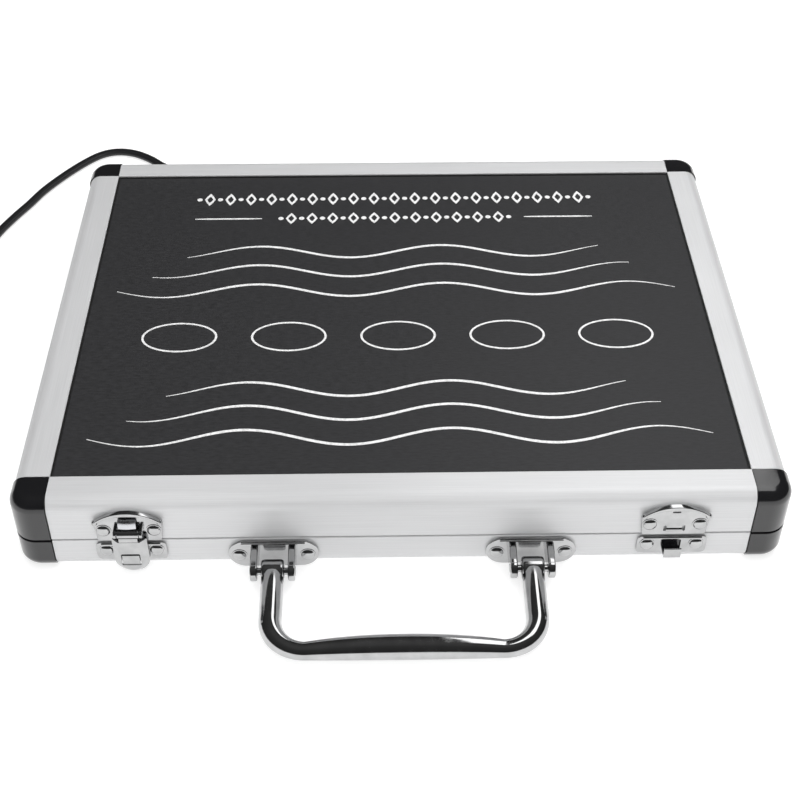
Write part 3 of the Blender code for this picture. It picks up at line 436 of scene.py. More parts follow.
def coil_point(turned):
    """Where the lead lies after winding clockwise through an angle from where it meets the coil."""
    bottom_end = JOINING + layer_angle
    top_start = bottom_end + JOINING
    top_end = top_start + layer_angle
    rest = free_points[-1].z
    if turned < JOINING:
        radius = arrival_radius + (OUTER_TURN - arrival_radius) * smoothstep(turned / JOINING)
    elif turned < bottom_end:
        radius = OUTER_TURN + (INNER_TURN - OUTER_TURN) * (turned - JOINING) / layer_angle
    elif turned < top_start:
        radius = INNER_TURN
    elif turned < top_end:
        radius = INNER_TURN + (OUTER_TURN - INNER_TURN) * (turned - top_start) / layer_angle
    else:
        radius = OUTER_TURN + (LEAVING_TURN - OUTER_TURN) * smoothstep((turned - top_end) / JOINING)
    height = rest + LAYER_RISE * smoothstep((turned - bottom_end) / JOINING)
    leaving = smoothstep((turned - top_end) / JOINING)
    height += (PLUG_AXIS_HEIGHT - height) * leaving
    angle = arrival_angle - turned
    away = abs((math.degrees(angle - TIE_ANGLE) + 180) % 360 - 180)
    height += TIE_LIFT * smoothstep((40 - away) / 25) * (1 - leaving)
    return Vector((coil_centre.x + radius * math.cos(angle), coil_centre.y + radius * math.sin(angle), height))


free_line = smooth_run(free_points, 2.5 * MM)
coil_steps = 300
coil_line = [coil_point(last_angle * i / coil_steps) for i in range(1, coil_steps + 1)]
lead_line = free_line + coil_line
core_sweep = math.degrees(math.acos(-CORE_OFFSET / CORE_RADIUS))
lead_section = []
for side, middle in ((1, 0), (-1, 180)):
    for i in range(9):
        angle = math.radians(middle - core_sweep + 2 * core_sweep * (i + 0.5) / 9)
        lead_section.append((side * CORE_OFFSET + CORE_RADIUS * math.cos(angle), CORE_RADIUS * math.sin(angle)))
    edge_height = side * CORE_RADIUS * math.sin(math.radians(core_sweep))
    lead_section.append((0, edge_height))
cage = bmesh.new()
swept(cage, lead_line, lead_section)
lead = piece("lead", cage, lead_pvc, "base", ("cord", "cord_coil"), crease=60)


# ---- Strain relief: a moulded PVC sleeve, its collar against the back wall and its shank through it ----
# The sleeve tapers towards the lead and has ring grooves, so that it bends instead of kinking.
COLLAR_RADIUS = 4.2 * MM
COLLAR_LENGTH = 2.0 * MM
COLLAR_START = 2.7 * MM
SHANK_RADIUS = 2.9 * MM
SLEEVE_ROOT = 3.6 * MM
SLEEVE_TIP = 2.75 * MM
SLEEVE_GROOVES = 7
GROOVE_DEPTH = 0.4 * MM
SPIN = {"X": Matrix(((0, 0, 1), (1, 0, 0), (0, 1, 0))), "Y": Matrix(((0, 1, 0), (0, 0, 1), (1, 0, 0)))}


def turned_on(cage, profile, axis, place, sides):
    """Turn pairs of radius and distance along an axis into a closed solid."""
    rings = []
    for radius, along in profile:
        ring = []
        for i in range(sides):
            angle = 2 * math.pi * i / sides
            ring.append(place + SPIN[axis] @ Vector((radius * math.cos(angle), radius * math.sin(angle), along)))
        rings.append(ring)
    return skin_of(cage, rings)


relief_length = relief_high.y - relief_low.y
sleeve_start = COLLAR_START + COLLAR_LENGTH
relief_profile = [(SHANK_RADIUS, 0), (SHANK_RADIUS, COLLAR_START), (COLLAR_RADIUS - 0.3 * MM, COLLAR_START),
                  (COLLAR_RADIUS, COLLAR_START + 0.3 * MM), (COLLAR_RADIUS, sleeve_start - 0.5 * MM),
                  (COLLAR_RADIUS - 0.5 * MM, sleeve_start)]
for i in range(71):
    share = i / 70
    groove = max(0.0, math.sin(2 * math.pi * SLEEVE_GROOVES * share)) * (1 - share * 0.4)
    radius = SLEEVE_ROOT + (SLEEVE_TIP - SLEEVE_ROOT) * share - GROOVE_DEPTH * groove
    relief_profile.append((radius, sleeve_start + 0.2 * MM + (relief_length - sleeve_start - 0.2 * MM) * share))
cage = bmesh.new()
turned_on(cage, relief_profile, "Y", Vector((exit_point.x, relief_low.y, exit_point.z)), 32)
relief = piece("relief_sleeve", cage, lead_pvc, "base", ("strain_relief",), crease=50)


# ---- Tie: a woven hook-and-loop strap wrapped round the coil and lapped over itself ----
# A loop with round corners, 8 mm wide, with a second layer over the top where its end is pressed down.
TIE_SHEET = 0.8 * MM
TIE_ROUND = 2.2 * MM


def rounded_box(x0, y0, x1, y1, radius, steps=6):
    """A closed rectangular outline with round corners."""
    points = []
    for cx, cy, first in ((x1 - radius, y0 + radius, -90), (x1 - radius, y1 - radius, 0),
                          (x0 + radius, y1 - radius, 90), (x0 + radius, y0 + radius, 180)):
        for i in range(steps + 1):
            angle = math.radians(first + 90 * i / steps)
            points.append((cx + radius * math.cos(angle), cy + radius * math.sin(angle)))
    return points


def laid(point, axis, along):
    """A flat point carried to a distance along one axis."""
    a, b = point
    return {"X": (along, a, b), "Y": (a, along, b), "Z": (a, b, along)}[axis]


def looped(cage, rings):
    """Join closed rings of points with faces, the last one to the first."""
    rows = [[cage.verts.new(p) for p in ring] for ring in rings]
    count = len(rows[0])
    for first, second in zip(rows, rows[1:] + rows[:1]):
        for i in range(count):
            j = (i + 1) % count
            cage.faces.new((first[i], first[j], second[j], second[i]))


def banded(cage, outer, inner, axis, start, end):
    """A closed band between two outlines of equal count, carried from start to end along an axis."""
    looped(cage, [[laid(p, axis, along) for p in outline]
                  for outline, along in ((outer, start), (outer, end), (inner, end), (inner, start))])


tie_low, tie_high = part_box("cord_tie")
tie_top = coil_low.z - 0.3 * MM + 2 * (LAYER_RISE / 2 + CORE_RADIUS) + 0.6 * MM
tie_box = (tie_low.y + 0.9 * MM, tie_low.z, tie_high.y - 0.9 * MM, tie_top)
cage = bmesh.new()
tie_outer = rounded_box(*tie_box, TIE_ROUND)
tie_inner = rounded_box(tie_box[0] + TIE_SHEET, tie_box[1] + TIE_SHEET, tie_box[2] - TIE_SHEET,
                        tie_box[3] - TIE_SHEET, TIE_ROUND - TIE_SHEET)
banded(cage, tie_outer, tie_inner, "X", tie_low.x, tie_high.x)
lap = rounded_box(tie_box[0] + 2.5 * MM, tie_box[3] + 0.02 * MM, tie_box[2] - 4 * MM, tie_box[3] + TIE_SHEET,
                  0.35 * MM)
rings = [[(x, y, z) for y, z in lap] for x in (tie_low.x + 0.3 * MM, tie_high.x - 0.3 * MM)]
skin_of(cage, rings)
tie_cloth = Finish("tie_strap", (0.018, 0.018, 0.02), 0.85, Sheen_Weight=0.4)
weave = tie_cloth.node("ShaderNodeTexWave", {"wave_type": "BANDS", "bands_direction": "DIAGONAL"},
                       Vector=tie_cloth.place(), Scale=900.0, Distortion=2.0)
tie_cloth.bump(weave, 0.0002, 0.6)
tie = piece("tie_strap", cage, tie_cloth, "base", ("cord_tie",))


# ---- Plug: a moulded two-pin plug in the same PVC, with sleeved pins in nickelled brass ----
# The body is wider than it is high, waisted for the fingers, and ribbed at the waist. The lead
# enters it through a short tapered tail.
PLUG_TURN = math.radians(110)
PIN_RADIUS = 2.0 * MM
PIN_SPREAD = 6 * MM
PIN_START = 50 * MM
PIN_SLEEVE_END = 61 * MM
PIN_END = 69 * MM
PLUG_SECTIONS = [(0, 2.8, 2.4, 2.0), (10, 3.0, 2.7, 2.0), (19, 3.6, 3.3, 2.0), (23, 4.4, 3.9, 2.2),
                 (27, 6.6, 4.7, 2.6), (32, 8.0, 5.2, 3.0), (37, 8.2, 5.3, 3.2), (42, 7.4, 4.9, 3.2),
                 (47, 8.2, 5.3, 3.4), (51, 8.5, 5.5, 4.0), (51.7, 8.3, 5.3, 4.0), (52, 7.8, 4.8, 4.0)]
WAIST = 42
WAIST_HALF = 5
RIB_PITCH = 2.2
RIB_DEPTH = 0.25
plug_start = Vector((coil_centre.x + LEAVING_TURN * math.cos(PLUG_ANGLE),
                     coil_centre.y + LEAVING_TURN * math.sin(PLUG_ANGLE), PLUG_AXIS_HEIGHT))
plug_place = Matrix.Translation(plug_start) @ Matrix.Rotation(PLUG_TURN, 4, "Z")


def super_ring(along, half_wide, half_high, power, count=40):
    """A rounded rectangular ring at a distance along X."""
    ring = []
    for i in range(count):
        angle = 2 * math.pi * i / count
        c, s = math.cos(angle), math.sin(angle)
        y = half_wide * math.copysign(abs(c) ** (2 / power), c)
        z = half_high * math.copysign(abs(s) ** (2 / power), s)
        ring.append((along, y, z))
    return ring


rings = []
for (x0, a0, b0, n0), (x1, a1, b1, n1) in zip(PLUG_SECTIONS, PLUG_SECTIONS[1:]):
    steps = 10 if 27 <= x0 < 51 else 4
    for i in range(steps):
        share = i / steps
        ease = smoothstep(share)
        along = x0 + (x1 - x0) * share
        rib = RIB_DEPTH * max(0.0, math.cos(math.pi * (along - WAIST) / (2 * WAIST_HALF)))
        rib *= max(0.0, math.cos(2 * math.pi * (along - WAIST) / RIB_PITCH))
        rings.append(super_ring(along * MM, (a0 + (a1 - a0) * ease - rib) * MM,
                                (b0 + (b1 - b0) * ease - rib) * MM, n0 + (n1 - n0) * ease))
rings.append(super_ring(*[v * MM for v in PLUG_SECTIONS[-1][:3]], PLUG_SECTIONS[-1][3]))
cage = bmesh.new()
skin_of(cage, rings)
for side in (-1, 1):
    turned_on(cage, [(PIN_RADIUS, PIN_START), (PIN_RADIUS, PIN_SLEEVE_END - 0.2 * MM),
                     (PIN_RADIUS - 0.2 * MM, PIN_SLEEVE_END)], "X", Vector((0, side * PIN_SPREAD, 0)), 20)
bmesh.ops.transform(cage, matrix=plug_place, verts=cage.verts)
plug_body = piece("plug_body", cage, lead_pvc, "base", ("plug",))
nickel = Finish("pin_nickel", (0.72, 0.68, 0.6), 0.25, Metallic=1.0)
nickel.feed("Roughness", nickel.spread(nickel.grain(2500), 0.18, 0.36))
cage = bmesh.new()
metal_radius = PIN_RADIUS - 0.1 * MM
pin_profile = [(metal_radius, PIN_SLEEVE_END - 2 * MM), (metal_radius, PIN_END - PIN_RADIUS)]
for degrees in range(15, 90, 15):
    angle = math.radians(degrees)
    pin_profile.append((metal_radius * math.cos(angle), PIN_END - PIN_RADIUS + PIN_RADIUS * math.sin(angle)))
pin_profile.append((0.1 * MM, PIN_END))
for side in (-1, 1):
    turned_on(cage, pin_profile, "X", Vector((0, side * PIN_SPREAD, 0)), 20)
bmesh.ops.transform(cage, matrix=plug_place, verts=cage.verts)
plug_pins = piece("plug_pins", cage, nickel, "base", ())


# ---- Extrusions: four satin anodised aluminium bars round the base and four round the lid ----
# Each bar is a bent section with a lip that holds the board. It is pushed onto the tongues of two
# corner blocks. The die leaves fine lines along each bar.
BAR_WALL = 1.6 * MM
BAR_LIP = 1.0 * MM
BAR_ROUND = 6.5 * MM
BAR_EDGE = 0.35 * MM
ALUMINIUM_GREY = (0.70, 0.703, 0.71)
ALUMINIUM_SHADE = (0.62, 0.623, 0.63)
RELIEF_HOLE = 3.2 * MM


def arc(centre, radius, first, last, steps):
    """Points round part of a circle, between two angles in degrees."""
    angles = [math.radians(first + (last - first) * i / steps) for i in range(steps + 1)]
    return [(centre[0] + radius * math.cos(a), centre[1] + radius * math.sin(a)) for a in angles]


def softened(outline, radius, steps=3):
    """Round the sharp corners of a closed outline."""
    result = []
    count = len(outline)
    for i, point in enumerate(outline):
        here = Vector(point)
        before = here - Vector(outline[i - 1])
        after = Vector(outline[(i + 1) % count]) - here
        turn = before.angle(after)
        if turn < math.radians(25):
            result.append(point)
            continue
        reach = min(radius * math.tan(turn / 2), 0.45 * before.length, 0.45 * after.length)
        start = here - before.normalized() * reach
        end = here + after.normalized() * reach
        for k in range(steps + 1):
            t = k / steps
            result.append(tuple((1 - t) ** 2 * start + 2 * t * (1 - t) * here + t * t * end))
    return result


def bar_outline(inner, outer, rim, face):
    """Section of one bar: inner and outer say how far out it reaches, rim and face how high."""
    side = 1 if outer > inner else -1
    up = 1 if face > rim else -1
    bend = outer - side * BAR_ROUND
    middle = face - up * BAR_ROUND
    outside = [(bend + side * a, middle + up * b) for a, b in arc((0, 0), BAR_ROUND, 0, 90, 16)]
    inside = [(bend + side * a, middle + up * b) for a, b in arc((0, 0), BAR_ROUND - BAR_WALL, 90, 0, 10)]
    return [(outer, rim), *outside, (inner, face), (inner, face - up * BAR_LIP), (bend, face - up * BAR_LIP),
            *inside, (outer - side * BAR_WALL, rim)]


def carved(cage, tool):
    """Cut one closed cage out of another."""
    made = []
    for part in (cage, tool):
        bmesh.ops.remove_doubles(part, verts=part.verts, dist=0.000001)
        bmesh.ops.recalc_face_normals(part, faces=part.faces)
        mesh = bpy.data.meshes.new("carving")
        part.to_mesh(mesh)
        part.free()
        made.append(linked("carving", mesh))
    work, cutter = made
    step = work.modifiers.new("cut", "BOOLEAN")
    step.operation = "DIFFERENCE"
    step.solver = "EXACT"
    step.object = cutter
    mesh = cooked(work)
    bpy.data.objects.remove(cutter, do_unlink=True)
    result = bmesh.new()
    result.from_mesh(mesh)
    return result


def satin_aluminium(name, stretch):
    """Anodised aluminium with die lines that run one way."""
    finish = Finish(name, ALUMINIUM_GREY, 0.42, Metallic=0.25)
    lines = finish.grain(1.0, stretch, detail=6.0)
    cloud = finish.grain(14, detail=2.0)
    finish.feed("Roughness", finish.spread(lines, 0.38, 0.5, 0.35, 0.65) + 0.06 * cloud)
    worn = finish.spread(lines * 0.6 + cloud * 0.4, 0.0, 1.0, 0.35, 0.65)
    finish.feed("Base Color", finish.blend(worn, ALUMINIUM_SHADE, ALUMINIUM_GREY))
    finish.bump(lines, 0.00002, 0.35)
    return finish


aluminium_along_x = satin_aluminium("aluminium_along_x", (25, 2600, 2600))
aluminium_along_y = satin_aluminium("aluminium_along_y", (2600, 25, 2600))
for half in ("base", "lid"):
    for side in ("front", "back", "left", "right"):
        node = f"{half}_frame_{side}"
        bar_low, bar_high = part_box(node)
        rim, face = (bar_high.z, bar_low.z) if half == "base" else (bar_low.z, bar_high.z)
        cage = bmesh.new()
        if side in ("front", "back"):
            inner, outer = (bar_high.y, bar_low.y) if side == "front" else (bar_low.y, bar_high.y)
            axis, start, end, metal = "X", bar_low.x, bar_high.x, aluminium_along_x
        else:
            inner, outer = (bar_high.x, bar_low.x) if side == "left" else (bar_low.x, bar_high.x)
            axis, start, end, metal = "Y", bar_low.y, bar_high.y, aluminium_along_y
        outline = softened(bar_outline(inner, outer, rim, face), BAR_EDGE)
        skin_of(cage, [[laid(p, axis, along) for p in outline] for along in (start, end)])
        if node == "base_frame_back":
            hole = bmesh.new()
            turned_on(hole, [(RELIEF_HOLE, bar_high.y - 3 * BAR_WALL), (RELIEF_HOLE, bar_high.y + BAR_WALL)], "Y",
                      Vector((exit_point.x, 0, exit_point.z)), 40)
            cage = carved(cage, hole)
        piece(f"{half}_bar_{side}", cage, metal, half, (node,))


# ---- Corner blocks: glossy black ABS mouldings, one at each corner of the base and of the lid ----
# Two tongues on each block go into the bars. The outer corner and edge are rounded, and the block
# stands a little proud of the bars.
CORNER_ROUND = 10 * MM
CORNER_EDGE_ROUND = 6 * MM
TONGUE = (11 * MM, 7.4 * MM)
TONGUE_ACROSS = 8.0 * MM
TONGUE_ROOT = 1.0 * MM
TONGUE_FROM_FACE = 3.8 * MM
TONGUE_FROM_SEAM = 2.0 * MM
SEAM_EASE = 0.5 * MM
open_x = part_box("lid_frame_right")[0].x
open_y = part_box("lid_frame_back")[0].y


def add_box(cage, size, middle):
    """Add a box to a cage."""
    made = bmesh.ops.create_cube(cage, size=1)["verts"]
    bmesh.ops.scale(cage, vec=size, verts=made)
    bmesh.ops.translate(cage, vec=middle, verts=made)


corner_black = Finish("corner_black", (0.008, 0.008, 0.009), 0.14, Coat_Weight=0.5, Coat_Roughness=0.05)
corner_peel = corner_black.grain(420, detail=2.0)
corner_black.feed("Roughness", corner_black.spread(corner_black.grain(60), 0.1, 0.24, 0.35, 0.65))
corner_black.bump(corner_peel, 0.00004, 0.25)
for half in ("base", "lid"):
    for name, side_x, side_y, turn in (("back_right", 1, 1, 0), ("back_left", -1, 1, 90),
                                       ("front_left", -1, -1, 180), ("front_right", 1, -1, 270)):
        node = f"{half}_corner_{name}"
        block_low, block_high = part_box(node)
        size = block_high.x - block_low.x - TONGUE[0] + TONGUE_ROOT
        height = block_high.z - block_low.z
        outer_face = block_low.z if half == "base" else block_high.z
        cage = bmesh.new()
        add_box(cage, (size, size, height), (size / 2, size / 2, block_low.z + height / 2))
        near = 0.05 * MM
        upright = [e for e in cage.edges if all(min(v.co.x, v.co.y) > size - near for v in e.verts)]
        bmesh.ops.bevel(cage, geom=upright, offset=CORNER_ROUND, segments=16, profile=0.5, affect="EDGES")
        outer_edges = []
        seam_edges = []
        for edge in cage.edges:
            flat = all(v.co.z > block_high.z - near for v in edge.verts) or all(
                v.co.z < block_low.z + near for v in edge.verts)
            inner = all(v.co.x < near for v in edge.verts) or all(v.co.y < near for v in edge.verts)
            if flat and not inner:
                level = abs(edge.verts[0].co.z - outer_face) < near
                (outer_edges if level else seam_edges).append(edge)
        bmesh.ops.bevel(cage, geom=outer_edges, offset=CORNER_EDGE_ROUND, segments=10, profile=0.5, affect="EDGES")
        seam_edges = [e for e in seam_edges if e.is_valid]
        bmesh.ops.bevel(cage, geom=seam_edges, offset=SEAM_EASE, segments=3, profile=0.5, affect="EDGES")
        tongue_low = block_low.z + (TONGUE_FROM_FACE if half == "base" else TONGUE_FROM_SEAM)
        tongue_high = block_high.z - (TONGUE_FROM_SEAM if half == "base" else TONGUE_FROM_FACE)
        middle_z = (tongue_low + tongue_high) / 2
        reach = TONGUE_ROOT - TONGUE[0] / 2
        add_box(cage, (*TONGUE, tongue_high - tongue_low), (reach, TONGUE_ACROSS, middle_z))
        add_box(cage, (TONGUE[1], TONGUE[0], tongue_high - tongue_low), (TONGUE_ACROSS, reach, middle_z))
        place = Matrix.Translation((side_x * (open_x + 0.3 * MM), side_y * (open_y + 0.3 * MM), 0))
        bmesh.ops.transform(cage, matrix=place @ Matrix.Rotation(math.radians(turn), 4, "Z"), verts=cage.verts)
        piece(f"{half}_block_{name}", cage, corner_black, half, (node,), crease=50)


# ---- Boards: a dark textured board in the lid, and a plain hardboard in the bottom ----
# Both are held under the lips of the bars. Under the tray lie an insulating board and the heating
# mat, and the thermostat sits behind the back wall.
def dress(node, finish):
    """Give a CAD node a finish."""
    for entry in bpy.data.objects[node].material_slots:
        entry.material = finish.material


lid_board = Finish("lid_board", (0.018, 0.018, 0.019), 0.5, Specular_IOR_Level=0.3)
leather = lid_board.node("ShaderNodeTexVoronoi", {"feature": "SMOOTH_F1"}, Vector=lid_board.place(), Scale=900.0)
fibre = lid_board.grain(260, (1, 4, 1), detail=5.0)
lid_board.feed("Base Color", lid_board.blend(lid_board.spread(fibre, 0, 1, 0.3, 0.7), (0.022, 0.022, 0.023),
                                             (0.034, 0.034, 0.036)))
lid_board.feed("Roughness", lid_board.spread(fibre, 0.42, 0.56, 0.3, 0.7))
lid_board.bump(leather * 0.7 + fibre * 0.3, 0.00012, 0.35)
dress("lid_panel", lid_board)

hardboard = Finish("hardboard", (0.03, 0.028, 0.026), 0.75)
press_marks = hardboard.node("ShaderNodeTexVoronoi", Vector=hardboard.place(), Scale=420.0)
hardboard.feed("Base Color", hardboard.blend(hardboard.grain(60, detail=5.0), (0.02, 0.019, 0.018),
                                             (0.05, 0.046, 0.042)))
hardboard.bump(press_marks, 0.0002, 0.5)
dress("bottom_panel", hardboard)

foil = Finish("insulation_foil", (0.66, 0.66, 0.64), 0.42, Metallic=0.7)
creases = foil.grain(90, detail=6.0, distortion=1.2)
foil.feed("Roughness", foil.spread(creases, 0.3, 0.6, 0.35, 0.65))
foil.bump(creases, 0.0004, 0.6)
dress("insulation_board", foil)

mat_silicone = Finish("mat_silicone", (0.03, 0.03, 0.032), 0.62)
mat_wires = mat_silicone.node("ShaderNodeTexWave", {"wave_type": "BANDS", "bands_direction": "Y"},
                              Vector=mat_silicone.place(), Scale=22.0, Distortion=1.0)
mat_silicone.feed("Base Color", mat_silicone.blend(mat_wires, (0.022, 0.022, 0.024), (0.05, 0.05, 0.052)))
mat_silicone.bump(mat_wires, 0.0006, 0.4)
dress("heating_mat", mat_silicone)

thermostat_shell = Finish("thermostat_shell", (0.7, 0.68, 0.62), 0.5)
shell_mottle = thermostat_shell.grain(300, detail=4.0)
thermostat_shell.feed("Base Color", thermostat_shell.blend(shell_mottle, (0.62, 0.6, 0.54), (0.76, 0.74, 0.69)))
thermostat_shell.bump(shell_mottle, 0.00008, 0.5)
dress("thermostat", thermostat_shell)


# ---- Print: white line art on the lid board, screen printed in one thick coat of ink ----
# A plain row of five stones between long even waves, and above them a generic ornament between two
# rules. Every line is a thin closed ribbon. A thin black strip along the board's edge is painted shadow under the
# bars' lips.
INK_LINE = 1.5 * MM
INK_RISE = 0.02 * MM
INK_THICKNESS = 0.12 * MM
ink_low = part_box("lid_panel")[1].z + INK_RISE
WAVE_ROWS = (-92, -76, -60, 14, 30, 46)
WAVE_HALF = 138
WAVE_STAGGER = 16
WAVE_HEIGHT = 5
WAVE_LENGTH = 92
STONE_COUNT = 5
STONE_ROW = -22
STONE_PITCH = 52
DRAWN_STONE = (18, 11)
RULES = ((-105, -70), (68, 104))
RULE_ROW = 76
ORNAMENTS = ((94, 104, 5.6), (RULE_ROW, 60, 5.0))
ORNAMENT_PITCH = 5.6
DOT_RADIUS = 1.4


def ribbon(cage, line, widths):
    """A thin closed ribbon of ink along flat points."""
    rings = []
    for i, point in enumerate(line):
        ahead = (line[min(i + 1, len(line) - 1)] - line[max(i - 1, 0)]).normalized()
        side = Vector((-ahead.y, ahead.x, 0)) * widths[i] / 2
        edges = (point + side, point - side)
        top = [Vector((p.x, p.y, ink_low + INK_THICKNESS)) for p in edges]
        bottom = [Vector((p.x, p.y, ink_low)) for p in edges]
        rings.append([top[0], top[1], bottom[1], bottom[0]])
    skin_of(cage, rings)


def ink_line(cage, points, width=INK_LINE, taper=0.8):
    """A pen line through points in millimetres."""
    line = smooth_run([(x * MM, y * MM, 0) for x, y in points], 1.5 * MM)
    count = len(line) - 1
    ends = [min(1.0, 5 * min(i, count - i) / count) for i in range(count + 1)]
    ribbon(cage, line, [width * (1 - taper + taper * e) for e in ends])


def ink_shape(cage, outline):
    """A filled patch of ink."""
    skin_of(cage, [[(x, y, z) for x, y in outline] for z in (ink_low, ink_low + INK_THICKNESS)])


cage = bmesh.new()
for number, row in enumerate(WAVE_ROWS):
    half = WAVE_HALF - WAVE_STAGGER * (number % 3)
    ink_line(cage, [(x, row + WAVE_HEIGHT * math.sin(2 * math.pi * x / WAVE_LENGTH))
                    for x in range(-half, half + 1, 6)])
for i in range(STONE_COUNT):
    middle = Vector(((i - (STONE_COUNT - 1) / 2) * STONE_PITCH, STONE_ROW)) * MM
    outlines = [[(middle.x + (DRAWN_STONE[0] * MM - shrink) * a, middle.y + (DRAWN_STONE[1] * MM - shrink) * b)
                 for a, b in arc((0, 0), 1, 0, 354, 59)] for shrink in (0, INK_LINE * 0.7)]
    banded(cage, outlines[0], outlines[1], "Z", ink_low, ink_low + INK_THICKNESS)
for start, end in RULES:
    ink_line(cage, [(start, RULE_ROW), (end, RULE_ROW)], 1.1 * MM, 0.5)
for row, half_row, half_high in ORNAMENTS:
    count = round(half_row / ORNAMENT_PITCH)
    for i in range(-count, count + 1):
        x = half_row * i / count
        if i % 2:
            ink_shape(cage, arc((x * MM, row * MM), DOT_RADIUS * MM, 0, 342, 19))
            continue
        tip = [(x - 2.9, row), (x - 1.6, row - half_high * 0.55), (x, row - half_high),
               (x + 1.6, row - half_high * 0.55), (x + 2.9, row), (x + 1.6, row + half_high * 0.55),
               (x, row + half_high), (x - 1.6, row + half_high * 0.55)]
        outline = [(a * MM, b * MM) for a, b in tip]
        middle = Vector((x * MM, row * MM))
        heart = [tuple(middle + (Vector(p) - middle) * 0.55) for p in outline]
        banded(cage, outline, heart, "Z", ink_low, ink_low + INK_THICKNESS)
ink = Finish("white_ink", (0.84, 0.84, 0.84), 0.5)
ink_spots = ink.grain(700, detail=3.0)
ink.feed("Base Color", ink.blend(ink.spread(ink_spots, 0, 1, 0.35, 0.6), (0.66, 0.66, 0.66), (0.86, 0.86, 0.86)))
ink.bump(ink_spots, 0.00003, 0.5)
piece("lid_print", cage, ink, "lid", ())

# Painted shadow: a thin matt black strip round the board's edge stands in for the shadow line under the bars' lips.
SHADOW_STRIP_WIDTH = 0.8 * MM
SHADOW_STRIP_HEIGHT = 0.35 * MM
shadow_strip_black = Finish("shadow_strip_black", (0.01, 0.01, 0.01), 0.7)
shadow_strip_grain = shadow_strip_black.grain(500, detail=4.0)
shadow_strip_black.feed("Roughness", shadow_strip_black.spread(shadow_strip_grain, 0.6, 0.85, 0.35, 0.65))
shadow_strip_black.bump(shadow_strip_grain, 0.0001, 0.4)
cage = bmesh.new()
shadow_strip_outer = [(open_x, -open_y), (open_x, open_y), (-open_x, open_y), (-open_x, -open_y)]
shadow_strip_inner = [(x - math.copysign(SHADOW_STRIP_WIDTH, x), y - math.copysign(SHADOW_STRIP_WIDTH, y)) for x, y in shadow_strip_outer]
banded(cage, shadow_strip_outer, shadow_strip_inner, "Z", ink_low, ink_low + SHADOW_STRIP_HEIGHT)
piece("lid_painted_shadow_strip", cage, shadow_strip_black, "lid", ())


# ---- Tray: a block of firm foam faced with grey felt, with one pocket for each stone ----
# The pockets go right through, so that the stones lie on the heating mat. The felt turns softly
# over every edge. The block has a notch for the thermostat.
POCKET_CLEARANCE = 1.2 * MM
FELT_TURN = 1.2 * MM
CORNER_CUT = 10 * MM
NOTCH_CLEARANCE = 0.6 * MM
STONE_NODES = ([f"stone_large_{side}" for side in ("left", "right")]
               + [f"stone_medium_{i}" for i in range(1, 5)] + [f"stone_small_{i}" for i in range(1, 7)])
tray_low, tray_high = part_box("stone_tray")


def felt_outlines():
    """The tray's outline with its cut-away corners, and then each pocket's."""
    far_x, far_y = tray_high.x - FELT_TURN, tray_high.y - FELT_TURN
    near_x, near_y = open_x - 0.3 * MM - FELT_TURN, open_y - 0.3 * MM - FELT_TURN
    step = CORNER_CUT
    quadrant = [(far_x, near_y - step), (near_x, near_y - step), (near_x - step, near_y), (near_x - step, far_y)]
    second = [(-x, y) for x, y in reversed(quadrant)]
    third = [(-x, -y) for x, y in quadrant]
    fourth = [(x, -y) for x, y in reversed(quadrant)]
    yield softened(quadrant + second + third + fourth, 1.5 * MM, 4)
    for node in STONE_NODES:
        stone_low, stone_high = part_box(node)
        middle = (stone_low + stone_high) / 2
        half_x = (stone_high.x - stone_low.x) / 2 + POCKET_CLEARANCE + FELT_TURN
        half_y = (stone_high.y - stone_low.y) / 2 + POCKET_CLEARANCE + FELT_TURN
        yield [(middle.x + half_x * a, middle.y - half_y * b) for a, b in arc((0, 0), 1, 0, 354, 59)]


tray_curve = bpy.data.curves.new("felt_tray", "CURVE")
tray_curve.dimensions = "2D"
tray_curve.fill_mode = "BOTH"
tray_curve.extrude = (tray_high.z - tray_low.z) / 2 - FELT_TURN
tray_curve.bevel_depth = FELT_TURN
tray_curve.bevel_resolution = 4
for outline in felt_outlines():
    spline = tray_curve.splines.new("POLY")
    spline.points.add(len(outline) - 1)
    for entry, (x, y) in zip(spline.points, outline):
        entry.co = (x, y, 0, 1)
    spline.use_cyclic_u = True
cage = bmesh.new()
cage.from_mesh(cooked(linked("felt_tray", tray_curve)))
bmesh.ops.translate(cage, vec=(0, 0, (tray_low.z + tray_high.z) / 2), verts=cage.verts)
box_low, box_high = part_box("thermostat")
room = bmesh.new()
room_size = (box_high.x - box_low.x + 2 * NOTCH_CLEARANCE, 2 * (tray_high.y - box_low.y + NOTCH_CLEARANCE),
             2 * (box_high.z + NOTCH_CLEARANCE))
add_box(room, room_size, (exit_point.x, tray_high.y, 0))
cage = carved(cage, room)
felt = Finish("tray_felt", (0.05, 0.051, 0.055), 0.95, Sheen_Weight=0.5, Sheen_Roughness=0.5)
nap = felt.grain(1600, detail=6.0, distortion=0.6)
tufts = felt.grain(120, detail=4.0)
felt.feed("Base Color", felt.blend(felt.spread(0.6 * nap + 0.4 * tufts, 0, 1, 0.35, 0.65), (0.035, 0.036, 0.04),
                                   (0.085, 0.086, 0.092)))
felt.bump(nap, 0.0005, 0.6)
tray = piece("felt_tray", cage, felt, "base", ("stone_tray",), crease=50)


